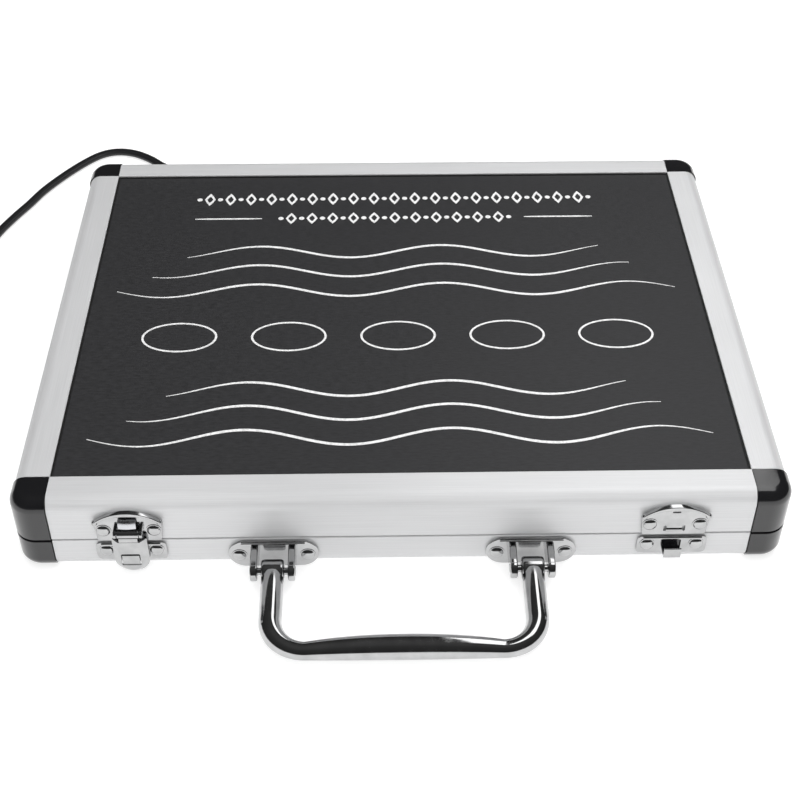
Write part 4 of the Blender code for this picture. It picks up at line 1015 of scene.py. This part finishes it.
# ---- Massage stones: two large, four medium and six small pieces of water-worn basalt ----
# Each one is a flattened oval, a little uneven, polished by handling and with fine open pores.
UNEVENNESS = 0.035
basalt = Finish("basalt", (0.03, 0.032, 0.035), 0.4, Specular_IOR_Level=0.45)
mineral = basalt.node("ShaderNodeTexVoronoi", Vector=basalt.place(), Scale=650.0)
cloudy = basalt.grain(70, detail=6.0)
basalt.feed("Base Color", basalt.blend(basalt.spread(0.75 * cloudy + 0.25 * mineral, 0, 1, 0.3, 0.62),
                                       (0.018, 0.019, 0.021), (0.07, 0.072, 0.075)))
basalt.feed("Roughness", basalt.spread(cloudy, 0.3, 0.52, 0.35, 0.65))
basalt.bump(0.5 * mineral + 0.5 * basalt.grain(1400, detail=4.0), 0.00015, 0.4)
for number, node in enumerate(STONE_NODES):
    stone_low, stone_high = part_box(node)
    middle = (stone_low + stone_high) / 2
    half = (stone_high - stone_low) / 2
    cage = bmesh.new()
    bmesh.ops.create_icosphere(cage, subdivisions=5, radius=1)
    for vertex in cage.verts:
        away = vertex.co.normalized()
        fullness = sum(abs(n) ** 2.25 for n in away) ** (-1 / 2.25)
        lumps = noise.noise(away * 1.1 + Vector((number * 7.3, 0, 0))) + 0.4 * noise.noise(
            away * 2.6 + Vector((0, number * 5.1, 0)))
        reach = min(fullness, 1.05) * (1 - UNEVENNESS * (0.7 + lumps))
        shape = Vector((away.x * half.x, away.y * half.y, away.z * half.z)) * reach
        for k in range(3):
            shape[k] = max(-half[k], min(half[k], shape[k]))
        vertex.co = middle + shape
    rest = min(v.co.z for v in cage.verts)
    bmesh.ops.translate(cage, vec=(0, 0, stone_low.z - rest), verts=cage.verts)
    piece(f"basalt_{number + 1:02d}", cage, basalt, "base", (node,), crease=80)


# ---- Lid pad: profiled foam glued under the lid board, which presses on the stones' tops ----
# Its face is a grid of soft pegs, as cut by a profiling machine, and its sides are cut straight.
PEG_PITCH = 17 * MM
PEG_HEIGHT = 3.6 * MM
FOAM_STEP = 2.0 * MM
pad_low, pad_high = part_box("lid_lining")
columns = round((pad_high.x - pad_low.x) / FOAM_STEP)
rows = round((pad_high.y - pad_low.y) / FOAM_STEP)
cage = bmesh.new()
face = []
back = []
for i in range(columns + 1):
    x = pad_low.x + (pad_high.x - pad_low.x) * i / columns
    face.append([])
    back.append([])
    for j in range(rows + 1):
        y = pad_low.y + (pad_high.y - pad_low.y) * j / rows
        wave = 0.5 + 0.25 * (math.cos(2 * math.pi * x / PEG_PITCH) + math.cos(2 * math.pi * y / PEG_PITCH))
        margin = min(i, columns - i, j, rows - j) * FOAM_STEP
        depth = PEG_HEIGHT * (1 - smoothstep(wave)) * smoothstep(margin / (6 * MM)) + 0.15 * MM
        round_edge = 1.2 * MM * (1 - smoothstep(margin / (2.5 * MM)))
        face[-1].append(cage.verts.new((x, y, pad_low.z + depth + round_edge)))
        back[-1].append(cage.verts.new((x, y, pad_high.z)))
for i in range(columns):
    for j in range(rows):
        cage.faces.new((face[i][j], face[i][j + 1], face[i + 1][j + 1], face[i + 1][j]))
        cage.faces.new((back[i][j], back[i + 1][j], back[i + 1][j + 1], back[i][j + 1]))
for i in range(columns):
    for j in (0, rows):
        cage.faces.new((face[i][j], face[i + 1][j], back[i + 1][j], back[i][j]))
for j in range(rows):
    for i in (0, columns):
        cage.faces.new((face[i][j], face[i][j + 1], back[i][j + 1], back[i][j]))
foam = Finish("profiled_foam", (0.05, 0.05, 0.055), 0.95, Sheen_Weight=0.25)
cells = foam.node("ShaderNodeTexVoronoi", Vector=foam.place(), Scale=1100.0)
foam.feed("Base Color", foam.blend(foam.spread(cells, 0, 1, 0.1, 0.7), (0.075, 0.075, 0.08), (0.03, 0.03, 0.034)))
foam.bump(cells, 0.0006, 0.8)
pad = piece("foam_pad", cage, foam, "lid", ("lid_lining",), crease=60)


# ---- Hinges: two zinc-plated steel butt hinges, riveted to the back of the base and of the lid ----
# Each leaf is rolled into knuckles round a loose pin: the base's has the two outer knuckles, and
# the lid's the middle one.
LEAF_SHEET = 1.0 * MM
LEAF_FROM_SEAM = 2.6 * MM
KNUCKLE_RADIUS = 2.2 * MM
KNUCKLE_BORE = 1.2 * MM
HINGE_AXIS_OUT = 2.6 * MM
HINGE_PIN = 0.9 * MM
seam = (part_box("base_frame_front")[1].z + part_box("lid_frame_front")[0].z) / 2
back_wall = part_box("base_frame_back")[1].y


def inset(outline, amount):
    """The same outline moved inwards by a small amount."""
    count = len(outline)
    area = sum(outline[i - 1][0] * outline[i][1] - outline[i][0] * outline[i - 1][1] for i in range(count))
    sign = 1 if area > 0 else -1
    moved = []
    for i, point in enumerate(outline):
        before = (Vector(point) - Vector(outline[i - 1])).normalized()
        after = (Vector(outline[(i + 1) % count]) - Vector(point)).normalized()
        inward = Vector((-(before.y + after.y), before.x + after.x)).normalized() * sign
        share = max(0.5, math.cos(before.angle(after) / 2))
        moved.append(tuple(Vector(point) + inward * (amount / share)))
    return moved


def pressed(cage, outline, axis, start, end, ease=0.2 * MM):
    """A flat plate between two depths, with its edges eased on both faces."""
    sign = 1 if end > start else -1
    rings = []
    for place, way in ((start, 1), (end, -1)):
        steps = [(ease * (1 - math.sin(a)), ease * (1 - math.cos(a))) for a in map(math.radians, (0, 30, 60, 90))]
        group = [(inset(outline, amount) if amount > 1e-9 else outline, place + sign * way * depth)
                 for amount, depth in steps]
        rings += group if way == 1 else group[::-1]
    skin_of(cage, [[laid(p, axis, depth) for p in ring] for ring, depth in rings])


def ringed(cage, profile, axis, place, sides):
    """Turn a closed profile of radius and distance into a ring with a bore."""
    rings = []
    for i in range(sides):
        angle = 2 * math.pi * i / sides
        turn = Vector((math.cos(angle), math.sin(angle)))
        rings.append([place + SPIN[axis] @ Vector((r * turn.x, r * turn.y, along)) for r, along in profile])
    looped(cage, rings)


def barrel(cage, radius, bore, start, end, axis, place, sides=36, ease=0.25 * MM):
    """A tube with eased outer edges."""
    profile = softened([(bore, start), (radius, start), (radius, end), (bore, end)], ease, 3)
    ringed(cage, profile, axis, place, sides)


zinc = Finish("zinc_steel", (0.62, 0.63, 0.65), 0.28, Metallic=1.0)
zinc_cloud = zinc.grain(220, detail=4.0)
zinc.feed("Roughness", zinc.spread(zinc_cloud, 0.2, 0.38, 0.35, 0.65))
zinc.feed("Base Color", zinc.blend(zinc_cloud, (0.55, 0.56, 0.58), (0.7, 0.71, 0.73)))
zinc.bump(zinc.grain(900, (1, 6, 6)), 0.00002, 0.3)
for side in ("left", "right"):
    for half, up in (("base", -1), ("lid", 1)):
        node = f"hinge_leaf_{half}_{side}"
        leaf_low, leaf_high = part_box(node)
        middle = (leaf_low.x + leaf_high.x) / 2
        half_leaf = (leaf_high.x - leaf_low.x) / 2
        plate_start, plate_end = back_wall + 0.3 * MM, back_wall + 0.3 * MM + LEAF_SHEET
        near = seam + up * LEAF_FROM_SEAM
        far = leaf_low.z if up < 0 else leaf_high.z
        runs = ((-half_leaf, -half_leaf / 3), (half_leaf / 3, half_leaf)) if up < 0 else (
            (-half_leaf / 3 + 0.3 * MM, half_leaf / 3 - 0.3 * MM),)
        cage = bmesh.new()
        outline = [(middle - half_leaf, near), (middle + half_leaf, near), (middle + half_leaf, far),
                   (middle - half_leaf, far)]
        pressed(cage, softened(outline, 1.6 * MM, 5), "Y", plate_start, plate_end)
        for first, last in runs:
            tab_far = near + up * 1.5 * MM
            tab = [(middle + first + 0.05 * MM, seam), (middle + last - 0.05 * MM, seam),
                   (middle + last - 0.05 * MM, tab_far), (middle + first + 0.05 * MM, tab_far)]
            pressed(cage, tab, "Y", plate_start + 0.01 * MM, plate_end - 0.01 * MM, 0.1 * MM)
            barrel(cage, KNUCKLE_RADIUS, KNUCKLE_BORE, first, last, "X",
                   Vector((middle, back_wall + HINGE_AXIS_OUT, seam)))
        piece(f"hinge_{half}_{side}", cage, zinc, half, (node,))
    pin_low, pin_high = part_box(f"hinge_pin_{side}")
    cage = bmesh.new()
    turned_on(cage, [(HINGE_PIN * 0.7, 0), (HINGE_PIN, 0.3 * MM), (HINGE_PIN, pin_high.x - pin_low.x - 0.3 * MM),
                     (HINGE_PIN * 0.7, pin_high.x - pin_low.x)], "X",
              Vector((pin_low.x, back_wall + HINGE_AXIS_OUT, seam)), 24)
    piece(f"hinge_rod_{side}", cage, zinc, "base", (f"hinge_pin_{side}",))


# ---- Latches: chromed pressings riveted to the lid, with their catches on the base below them ----
# Each upper plate has an arched top edge rolled forward, with a curl at each end. The right one
# has no hasp, and its pin slots are open. The left one carries the hasp between two lugs.
PLATE_SHEET = 1.0 * MM
RIM_WIDTH = 1.4 * MM
CURL_RADIUS = 1.3 * MM
CROWN_SWELL = 0.9 * MM
HASP_PIN_BORE = 1.1 * MM
LUG_RADIUS = 1.9 * MM
LUG_SHEET = 1.2 * MM
LUG_SPREAD = 5.5 * MM
ARCH_RISE = 6 * MM
SLOTS = ((-4, 21.9, 1.3, 3.4), (4, 21.9, 1.3, 3.4), (0, 31.6, 3.6, 1.0))
front_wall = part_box("base_frame_front")[0].y
plate_back = front_wall - 0.3 * MM
plate_front = plate_back - PLATE_SHEET
pin_low, pin_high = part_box("hasp_pin_left")
hasp_axis = (pin_low + pin_high) / 2

chrome = Finish("chrome", (0.48, 0.482, 0.485), 0.08, Metallic=1.0)
chrome_haze = chrome.grain(160, detail=4.0)
chrome.feed("Roughness", chrome.spread(chrome_haze, 0.05, 0.16, 0.4, 0.7))
chrome.feed("Base Color", chrome.blend(chrome.spread(chrome_haze, 0, 1, 0.3, 0.7), (0.43, 0.432, 0.435),
                                       (0.52, 0.522, 0.525)))
chrome.bump(chrome.grain(500, detail=2.0), 0.00001, 0.3)


def arch_line(half, ear_height, down, steps=28):
    """The arched top edge of an upper plate, moved down its radius by an amount."""
    radius = (half ** 2 + ARCH_RISE ** 2) / (2 * ARCH_RISE)
    spread = math.degrees(math.asin(half / radius))
    return arc((0, ear_height + ARCH_RISE - radius), radius - down, 90 - spread, 90 + spread, steps)


def add_ear(cage, outline, middle, sheet, bore_radius, ease, sides):
    """Add an upright ear with a bore through it."""
    ear = bmesh.new()
    pressed(ear, outline, "X", middle.x - sheet / 2, middle.x + sheet / 2, ease)
    bore = bmesh.new()
    turned_on(bore, [(bore_radius, -2 * sheet), (bore_radius, 2 * sheet)], "X", middle, sides)
    ear = carved(ear, bore)
    mesh = bpy.data.meshes.new("ear")
    ear.to_mesh(mesh)
    ear.free()
    cage.from_mesh(mesh)


for side in ("left", "right"):
    node = f"latch_plate_{side}"
    plate_low, plate_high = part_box(node)
    middle = (plate_low.x + plate_high.x) / 2
    half_plate = (plate_high.x - plate_low.x) / 2
    ear_height = plate_high.z - ARCH_RISE
    rim_front = plate_back - 2.6 * MM
    cage = bmesh.new()
    outline = [(-half_plate + RIM_WIDTH, plate_low.z), (half_plate - RIM_WIDTH, plate_low.z),
               *arch_line(half_plate, ear_height, RIM_WIDTH / 2)]
    pressed(cage, [(middle + x, z) for x, z in softened(outline, 1.2 * MM, 4)], "Y", plate_front, plate_back)
    if side == "right":
        for x, z, wide, high in SLOTS:
            tool = bmesh.new()
            slot = rounded_box(middle + (x - wide / 2) * MM, (z - high / 2) * MM, middle + (x + wide / 2) * MM,
                               (z + high / 2) * MM, min(wide, high) * 0.45 * MM, 4)
            skin_of(tool, [[(x, y, z) for x, z in slot] for y in (plate_front - PLATE_SHEET, plate_back + 0.2 * MM)])
            cage = carved(cage, tool)
    top_edge = arch_line(half_plate - 0.4 * MM, ear_height, 0)
    low_edge = [(x, z - CROWN_SWELL * math.cos(math.pi * x / (2 * half_plate)) ** 4)
                for x, z in arch_line(half_plate - 0.4 * MM, ear_height, RIM_WIDTH * 0.85)]
    rim = softened(top_edge + low_edge[::-1], 0.5 * MM)
    pressed(cage, [(middle + x, z) for x, z in rim], "Y", rim_front, plate_back - 0.2 * MM, 0.38 * MM)
    for end in (-1, 1):
        curl = bmesh.ops.create_uvsphere(cage, u_segments=24, v_segments=14, radius=CURL_RADIUS)["verts"]
        bmesh.ops.translate(cage, vec=(middle + end * (half_plate - CURL_RADIUS), plate_back - CURL_RADIUS,
                                       ear_height - CURL_RADIUS * 0.3), verts=curl)
    if side == "left":
        for end in (-1, 1):
            lug_x = middle + end * LUG_SPREAD
            lug = arc((hasp_axis.y, hasp_axis.z), LUG_RADIUS, 90, 270, 20)
            lug += [(plate_back - 0.5 * MM, hasp_axis.z + way * LUG_RADIUS) for way in (-1, 1)]
            add_ear(cage, lug, Vector((lug_x, hasp_axis.y, hasp_axis.z)), LUG_SHEET, HASP_PIN_BORE, 0.15 * MM, 28)
    else:
        bridge = rounded_box(plate_front - 0.55 * MM, plate_low.z + 2.4 * MM, plate_front + 0.3 * MM,
                             plate_low.z + 3.6 * MM, 0.3 * MM, 4)
        skin_of(cage, [[(x, y, z) for y, z in bridge] for x in (middle - 3.6 * MM, middle + 3.6 * MM)])
    piece(f"latch_upper_{side}", cage, chrome, "lid", (node,))

FOLD_DEPTH = 1.9 * MM
FOLD_HEIGHT = 1.2 * MM
HOOK_SHEET = 1.0 * MM
MOUTH_HALF = 3.95 * MM
MOUTH_RISE = 1.6 * MM
for side in ("left", "right"):
    node = f"catch_plate_{side}"
    plate_low, plate_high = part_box(node)
    middle = (plate_low.x + plate_high.x) / 2
    half_plate = (plate_high.x - plate_low.x) / 2
    hook_low = plate_low.z + 1.0 * MM
    hook_high = hook_low + 5.6 * MM
    cage = bmesh.new()
    pressed(cage, softened([(plate_low.x, plate_low.z), (plate_high.x, plate_low.z), (plate_high.x, plate_high.z),
                            (plate_low.x, plate_high.z)], 2.2 * MM, 5), "Y", plate_front, plate_back)
    mouth = bmesh.new()
    outline = rounded_box(middle - MOUTH_HALF, hook_low + 1.2 * MM, middle + MOUTH_HALF, hook_high + MOUTH_RISE,
                          0.8 * MM, 5)
    skin_of(mouth, [[(x, y, z) for x, z in outline] for y in (plate_front - PLATE_SHEET, plate_back + 0.2 * MM)])
    cage = carved(cage, mouth)
    fold = [(plate_back - 0.3 * MM, plate_high.z), (plate_back - 0.3 * MM, plate_high.z - FOLD_HEIGHT),
            (plate_back - FOLD_DEPTH, plate_high.z - FOLD_HEIGHT), (plate_back - FOLD_DEPTH, plate_high.z)]
    skin_of(cage, [[(x, y, z) for y, z in softened(fold, 0.45 * MM, 4)]
                   for x in (middle - half_plate + 2.4 * MM, middle + half_plate - 2.4 * MM)])
    tip = plate_front - 4.3 * MM
    hook = [(plate_front + 0.4 * MM, hook_low), (tip, hook_low), (tip, hook_high), (tip + HOOK_SHEET, hook_high),
            (tip + HOOK_SHEET, hook_low + HOOK_SHEET), (plate_front + 0.4 * MM, hook_low + HOOK_SHEET)]
    pressed(cage, softened(hook, 0.7 * MM, 5), "X", middle - 3.7 * MM, middle + 3.7 * MM, 0.2 * MM)
    piece(f"catch_{side}", cage, chrome, "base", (node,))
    # Painted shade: a thin black sheet just behind the plate fills its mouth, so the opening looks dark where there
    # is only shadow.
    cage = bmesh.new()
    pressed(cage, outline, "Y", plate_back - 0.12 * MM, plate_back + 0.12 * MM, 0.02 * MM)
    piece(f"catch_backing_{side}", cage, corner_black, "base", ())


# ---- Hasp: a dished chrome tongue that hangs from a rolled barrel and closes over the hook ----
# Its flat middle is raised from sloping edges, and the hook looks out through its window. A steel
# pin joins it to the lugs, and a crowned leaf spring above keeps it open or shut.
HASP_HALF = 7.5 * MM
TONGUE_STEPS = ((7.5, 0), (6.6, 0.31), (5.7, 0.62), (4.85, 0.91), (4.3, 1.0))
HASP_SHEET = 0.9 * MM
BARREL_RADIUS = 1.9 * MM
BARREL_HALF = 4.6 * MM
WINDOW_HALF = 4.1 * MM
WINDOW_LOW = 7.0 * MM
WINDOW_HIGH = 14.0 * MM
NECK_HALF = 4.0 * MM
hasp_low, hasp_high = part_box("hasp_left")
rim_y = plate_back - 2.9 * MM
face_y = hasp_low.y
hasp_top = hasp_axis.z - 3.0 * MM


def tongue_ring(half, tip, y, top):
    """The hasp's outline at one depth: straight sides and a round tip."""
    outline = [(half, top), *arc((0, tip + half), half, 0, -180, 32), (-half, top)]
    return [(hasp_axis.x + x, y, z) for x, z in softened(outline, 0.8 * MM, 4)]


cage = bmesh.new()
rows = []
for half, share in TONGUE_STEPS:
    rows.append([cage.verts.new(p) for p in tongue_ring(half * MM, hasp_low.z + HASP_HALF - half * MM,
                                                        rim_y + (face_y - rim_y) * share,
                                                        hasp_top - 0.5 * MM * share)])
for first, second in zip(rows, rows[1:]):
    for i in range(len(first)):
        j = (i + 1) % len(first)
        cage.faces.new((first[i], first[j], second[j], second[i]))
cage.faces.new(rows[-1])
bmesh.ops.recalc_face_normals(cage, faces=cage.faces)
if sum(f.normal.y * f.calc_area() for f in cage.faces) > 0:
    bmesh.ops.reverse_faces(cage, faces=cage.faces)
shell_mesh = bpy.data.meshes.new("tongue")
cage.to_mesh(shell_mesh)
cage.free()
shell = linked("tongue", shell_mesh)
sheet = shell.modifiers.new("sheet", "SOLIDIFY")
sheet.thickness = HASP_SHEET
sheet.offset = -1
cage = bmesh.new()
cage.from_mesh(cooked(shell))
window = bmesh.new()
outline = rounded_box(hasp_axis.x - WINDOW_HALF, WINDOW_LOW, hasp_axis.x + WINDOW_HALF, WINDOW_HIGH, 0.7 * MM, 5)
skin_of(window, [[(x, y, z) for x, z in outline] for y in (face_y - HASP_SHEET, rim_y + 2 * HASP_SHEET)])
cage = carved(cage, window)
neck = [(hasp_axis.x - NECK_HALF, hasp_top - 2 * HASP_SHEET), (hasp_axis.x + NECK_HALF, hasp_top - 2 * HASP_SHEET),
        (hasp_axis.x + NECK_HALF, hasp_axis.z - 0.6 * BARREL_RADIUS),
        (hasp_axis.x - NECK_HALF, hasp_axis.z - 0.6 * BARREL_RADIUS)]
pressed(cage, neck, "Y", face_y + 0.1 * MM, face_y + HASP_SHEET - 0.1 * MM, 0.15 * MM)
barrel(cage, BARREL_RADIUS, HASP_PIN_BORE, -BARREL_HALF, BARREL_HALF, "X", hasp_axis)
piece("hasp", cage, chrome, "hasp_left", ("hasp_left",))

cage = bmesh.new()
turned_on(cage, [(0.5 * MM, 0), (0.8 * MM, 0.3 * MM), (0.8 * MM, pin_high.x - pin_low.x - 0.3 * MM),
                 (0.5 * MM, pin_high.x - pin_low.x)], "X", Vector((pin_low.x, hasp_axis.y, hasp_axis.z)), 24)
piece("hasp_rod", cage, zinc, "lid", ("hasp_pin_left",))

SPRING_SHEET = 0.5 * MM
SPRING_CROWN = 0.35 * MM
spring_low, spring_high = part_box("latch_spring_left")
cage = bmesh.new()
rings = []
for i in range(15):
    angle = math.radians(6 + 78 * i / 14)
    reach = spring_high.y - spring_low.y - SPRING_SHEET
    y = spring_high.y - SPRING_SHEET - reach * math.sin(angle)
    z = spring_high.z - (spring_high.z - spring_low.z) * (1 - math.cos(angle))
    front = []
    back = []
    for k in range(9):
        across_share = -1 + 2 * k / 8
        x = (spring_low.x + spring_high.x) / 2 + (spring_high.x - spring_low.x) / 2 * across_share
        crown = SPRING_CROWN * across_share ** 2
        front.append((x, y + crown, z))
        back.append((x, y + crown + SPRING_SHEET, z))
    rings.append(front + back[::-1])
skin_of(cage, rings)
piece("hasp_spring", cage, zinc, "lid", ("latch_spring_left",))


# ---- Handle brackets: chromed round-ended plates with two ears each, and a domed pin across ----
# They are riveted to the front of the base. The ears stand out on each side of the handle's eye.
EAR_RADIUS = 4.2 * MM
EAR_SHEET = 3.2 * MM
EAR_MIDDLE = 8.1 * MM
BRACKET_SHEET = 1.2 * MM
EAR_BORE = 1.9 * MM
HANDLE_PIN = 1.6 * MM
HANDLE_PIN_HEAD = 2.8 * MM
for side in ("left", "right"):
    node = f"handle_bracket_{side}"
    plate_low, plate_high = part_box(node)
    middle = (plate_low.x + plate_high.x) / 2
    pin_low, pin_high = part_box(f"handle_pin_{side}")
    pivot = (pin_low + pin_high) / 2
    round_end = (plate_high.z - plate_low.z) / 2
    straight = (plate_high.x - plate_low.x) / 2 - round_end
    height = plate_low.z + round_end
    cage = bmesh.new()
    outline = arc((middle + straight, height), round_end, -90, 90, 24)
    outline += arc((middle - straight, height), round_end, 90, 270, 24)
    pressed(cage, outline, "Y", plate_back - BRACKET_SHEET, plate_back, 0.35 * MM)
    for end in (-1, 1):
        ear_x = middle + end * EAR_MIDDLE
        outline = [(plate_back - BRACKET_SHEET / 2, plate_high.z - round_end / 3),
                   *arc((pivot.y, pivot.z), EAR_RADIUS, 90, 270, 30),
                   (plate_back - BRACKET_SHEET / 2, plate_low.z + round_end / 3)]
        add_ear(cage, outline, Vector((ear_x, pivot.y, pivot.z)), EAR_SHEET, EAR_BORE, 0.7 * MM, 32)
    flange = rounded_box(plate_back - BRACKET_SHEET - 0.9 * MM, plate_high.z - 2.0 * MM,
                         plate_back - BRACKET_SHEET + 0.3 * MM, plate_high.z - 0.6 * MM, 0.4 * MM, 4)
    skin_of(cage, [[(x, y, z) for y, z in flange] for x in (middle - straight - 2 * MM, middle + straight + 2 * MM)])
    piece(f"bracket_{side}", cage, chrome, "base", (node,))
    shank = pin_high.x - pin_low.x - 2.2 * MM
    head = [(HANDLE_PIN_HEAD, 0), (HANDLE_PIN_HEAD * 0.96, 0.3 * MM), (HANDLE_PIN_HEAD * 0.8, 0.7 * MM),
            (HANDLE_PIN_HEAD * 0.5, 0.98 * MM), (HANDLE_PIN_HEAD * 0.15, 1.1 * MM)]
    profile = [(r, -shank / 2 - d) for r, d in reversed(head)] + [(HANDLE_PIN, -shank / 2), (HANDLE_PIN, shank / 2)]
    profile += [(r, shank / 2 + d) for r, d in head]
    cage = bmesh.new()
    turned_on(cage, profile, "X", pivot, 32)
    piece(f"handle_stud_{side}", cage, chrome, "base", (f"handle_pin_{side}",))


# ---- Handle: a chromed bail that hangs forward of the case and rests level with its bottom ----
# Its grip swells towards the middle and its bends are thinner. Each leg ends in an eye, which
# turns on the pin between a bracket's ears.
LEG_RADIUS = 4.9 * MM
BEND_RADIUS = 15 * MM
GRIP_END_RADIUS = 3.9 * MM
GRIP_RADIUS = 5.4 * MM
HANDLE_REACH = 41 * MM
HANDLE_DROP = 2.5 * MM
LEG_START = 2.4 * MM
leg_x = (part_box("handle_bracket_right")[0].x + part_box("handle_bracket_right")[1].x) / 2
grip_half = leg_x - BEND_RADIUS
grip_y = pivot.y - HANDLE_REACH
half_path = []
for i in range(12):
    half_path.append((leg_x, pivot.y - LEG_START - (HANDLE_REACH - BEND_RADIUS - LEG_START) * i / 12, LEG_RADIUS))
for i in range(25):
    angle = math.radians(90 * i / 24)
    half_path.append((grip_half + BEND_RADIUS * math.cos(angle),
                      grip_y + BEND_RADIUS - BEND_RADIUS * math.sin(angle),
                      LEG_RADIUS + (GRIP_END_RADIUS - LEG_RADIUS) * smoothstep(i / 24)))
for i in range(1, 41):
    share = 1 - i / 40
    rise = 1 - share ** 2.2
    half_path.append((grip_half * share, grip_y + (GRIP_RADIUS - GRIP_END_RADIUS) * rise,
                      GRIP_END_RADIUS + (GRIP_RADIUS - GRIP_END_RADIUS) * rise))
path = half_path + [(-x, y, r) for x, y, r in reversed(half_path[:-1])]
line = [Vector((x, y, pivot.z + (y - pivot.y) * HANDLE_DROP / HANDLE_REACH)) for x, y, _ in path]
cage = bmesh.new()
swept(cage, line, arc((0, 0), 1, 0, 350, 35), sizes=[r for _, _, r in path])
for side in (-1, 1):
    barrel(cage, LEG_RADIUS + 0.3 * MM, EAR_BORE, -LEG_RADIUS, LEG_RADIUS, "X",
           Vector((side * leg_x, pivot.y, pivot.z)), 48, 1.5 * MM)
piece("bail_handle", cage, chrome, "handle", ("handle",), crease=45)


# ---- Rivets: domed heads that fix the latches, brackets and hinges to the bars ----
# One Geometry Nodes tree sets a dome with a thin collar on each point; every body's rivets are one
# mesh. Those at the front are chromed, and the hinges' are smaller and zinc plated.
def rivet_tree():
    """Geometry Nodes: a dome and a collar on every point."""
    tree = bpy.data.node_groups.new("rivets", "GeometryNodeTree")
    tree.interface.new_socket("Geometry", in_out="INPUT", socket_type="NodeSocketGeometry")
    for name in ("Head Radius", "Head Height"):
        tree.interface.new_socket(name, in_out="INPUT", socket_type="NodeSocketFloat")
    tree.interface.new_socket("Material", in_out="INPUT", socket_type="NodeSocketMaterial")
    tree.interface.new_socket("Geometry", in_out="OUTPUT", socket_type="NodeSocketGeometry")

    def node(kind, settings=None, **entries):
        made = tree.nodes.new(kind)
        for key, value in (settings or {}).items():
            setattr(made, key, value)
        for key, value in entries.items():
            socket = made.inputs[key.replace("_", " ")]
            if isinstance(value, bpy.types.NodeSocket):
                tree.links.new(value, socket)
            else:
                socket.default_value = value
        return made

    entry = node("NodeGroupInput").outputs
    dome = node("GeometryNodeMeshUVSphere", Segments=28, Rings=14, Radius=1.0)
    stretch = node("ShaderNodeCombineXYZ", X=entry["Head Radius"], Y=entry["Head Height"], Z=entry["Head Radius"])
    shaped = node("GeometryNodeTransform", Geometry=dome.outputs[0], Scale=stretch.outputs[0])
    collar_radius = node("ShaderNodeMath", {"operation": "MULTIPLY"})
    tree.links.new(entry["Head Radius"], collar_radius.inputs[0])
    collar_radius.inputs[1].default_value = 1.14
    collar_height = node("ShaderNodeMath", {"operation": "MULTIPLY"})
    tree.links.new(entry["Head Height"], collar_height.inputs[0])
    collar_height.inputs[1].default_value = 0.3
    collar = node("GeometryNodeMeshCylinder", Vertices=28, Radius=collar_radius.outputs[0],
                  Depth=collar_height.outputs[0])
    turned = node("GeometryNodeTransform", Geometry=collar.outputs[0], Rotation=(math.radians(90), 0, 0))
    head = node("GeometryNodeJoinGeometry")
    tree.links.new(turned.outputs[0], head.inputs[0])
    tree.links.new(shaped.outputs[0], head.inputs[0])
    placed = node("GeometryNodeInstanceOnPoints", Points=entry["Geometry"], Instance=head.outputs[0])
    real = node("GeometryNodeRealizeInstances", Geometry=placed.outputs[0])
    painted = node("GeometryNodeSetMaterial", Geometry=real.outputs[0], Material=entry["Material"])
    out = node("NodeGroupOutput")
    tree.links.new(painted.outputs[0], out.inputs[0])
    return tree


RIVETS = rivet_tree()


def rivets(name, points, radius, height, finish, body, slot):
    """Rivet heads of one size on one body."""
    mesh = bpy.data.meshes.new(name)
    mesh.from_pydata(points, [], [])
    thing = linked(name, mesh)
    step = thing.modifiers.new("rivets", "NODES")
    step.node_group = RIVETS
    values = {"Head Radius": radius, "Head Height": height, "Material": finish.material}
    for entry in RIVETS.interface.items_tree:
        if entry.in_out == "INPUT" and entry.name in values:
            step[entry.identifier] = values[entry.name]
    shown(name, cooked(thing), finish, body, (), crease=60)


FRONT_HEAD = (3.0 * MM, 1.5 * MM)
HINGE_HEAD = (2.0 * MM, 0.9 * MM)
LATCH_SPREAD = 10.7 * MM
CATCH_SPREAD = 10.65 * MM
BRACKET_SPREAD = 14.75 * MM
BRACKET_ROW = 8.3 * MM
HINGE_PITCH = 12 * MM
HINGE_ROW = 7.4 * MM
latch_x = (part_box("latch_plate_right")[0].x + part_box("latch_plate_right")[1].x) / 2
upper_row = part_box("latch_plate_right")[0].z + 6.3 * MM
lower_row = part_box("catch_plate_right")[0].z + 5.6 * MM
upper_points = [(side * latch_x + step * LATCH_SPREAD, plate_front, upper_row)
                for side in (-1, 1) for step in (-1, 1)]
lower_points = [(side * latch_x + step * CATCH_SPREAD, plate_front, lower_row)
                for side in (-1, 1) for step in (-1, 1)]
lower_points += [(side * leg_x + step * BRACKET_SPREAD, plate_back - BRACKET_SHEET, BRACKET_ROW)
                 for side in (-1, 1) for step in (-1, 1)]
rivets("rivets_lid", upper_points, *FRONT_HEAD, chrome, "lid", "chrome")
rivets("rivets_base", lower_points, *FRONT_HEAD, chrome, "base", "chrome")
hinge_x = (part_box("hinge_pin_right")[0].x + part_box("hinge_pin_right")[1].x) / 2
for half, up in (("lid", 1), ("base", -1)):
    points = [(side * hinge_x + step * HINGE_PITCH, back_wall + 0.3 * MM + LEAF_SHEET, seam + up * HINGE_ROW)
              for side in (-1, 1) for step in (-1, 0, 1)]
    rivets(f"rivets_hinge_{half}", points, *HINGE_HEAD, zinc, half, "steel")


low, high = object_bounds()
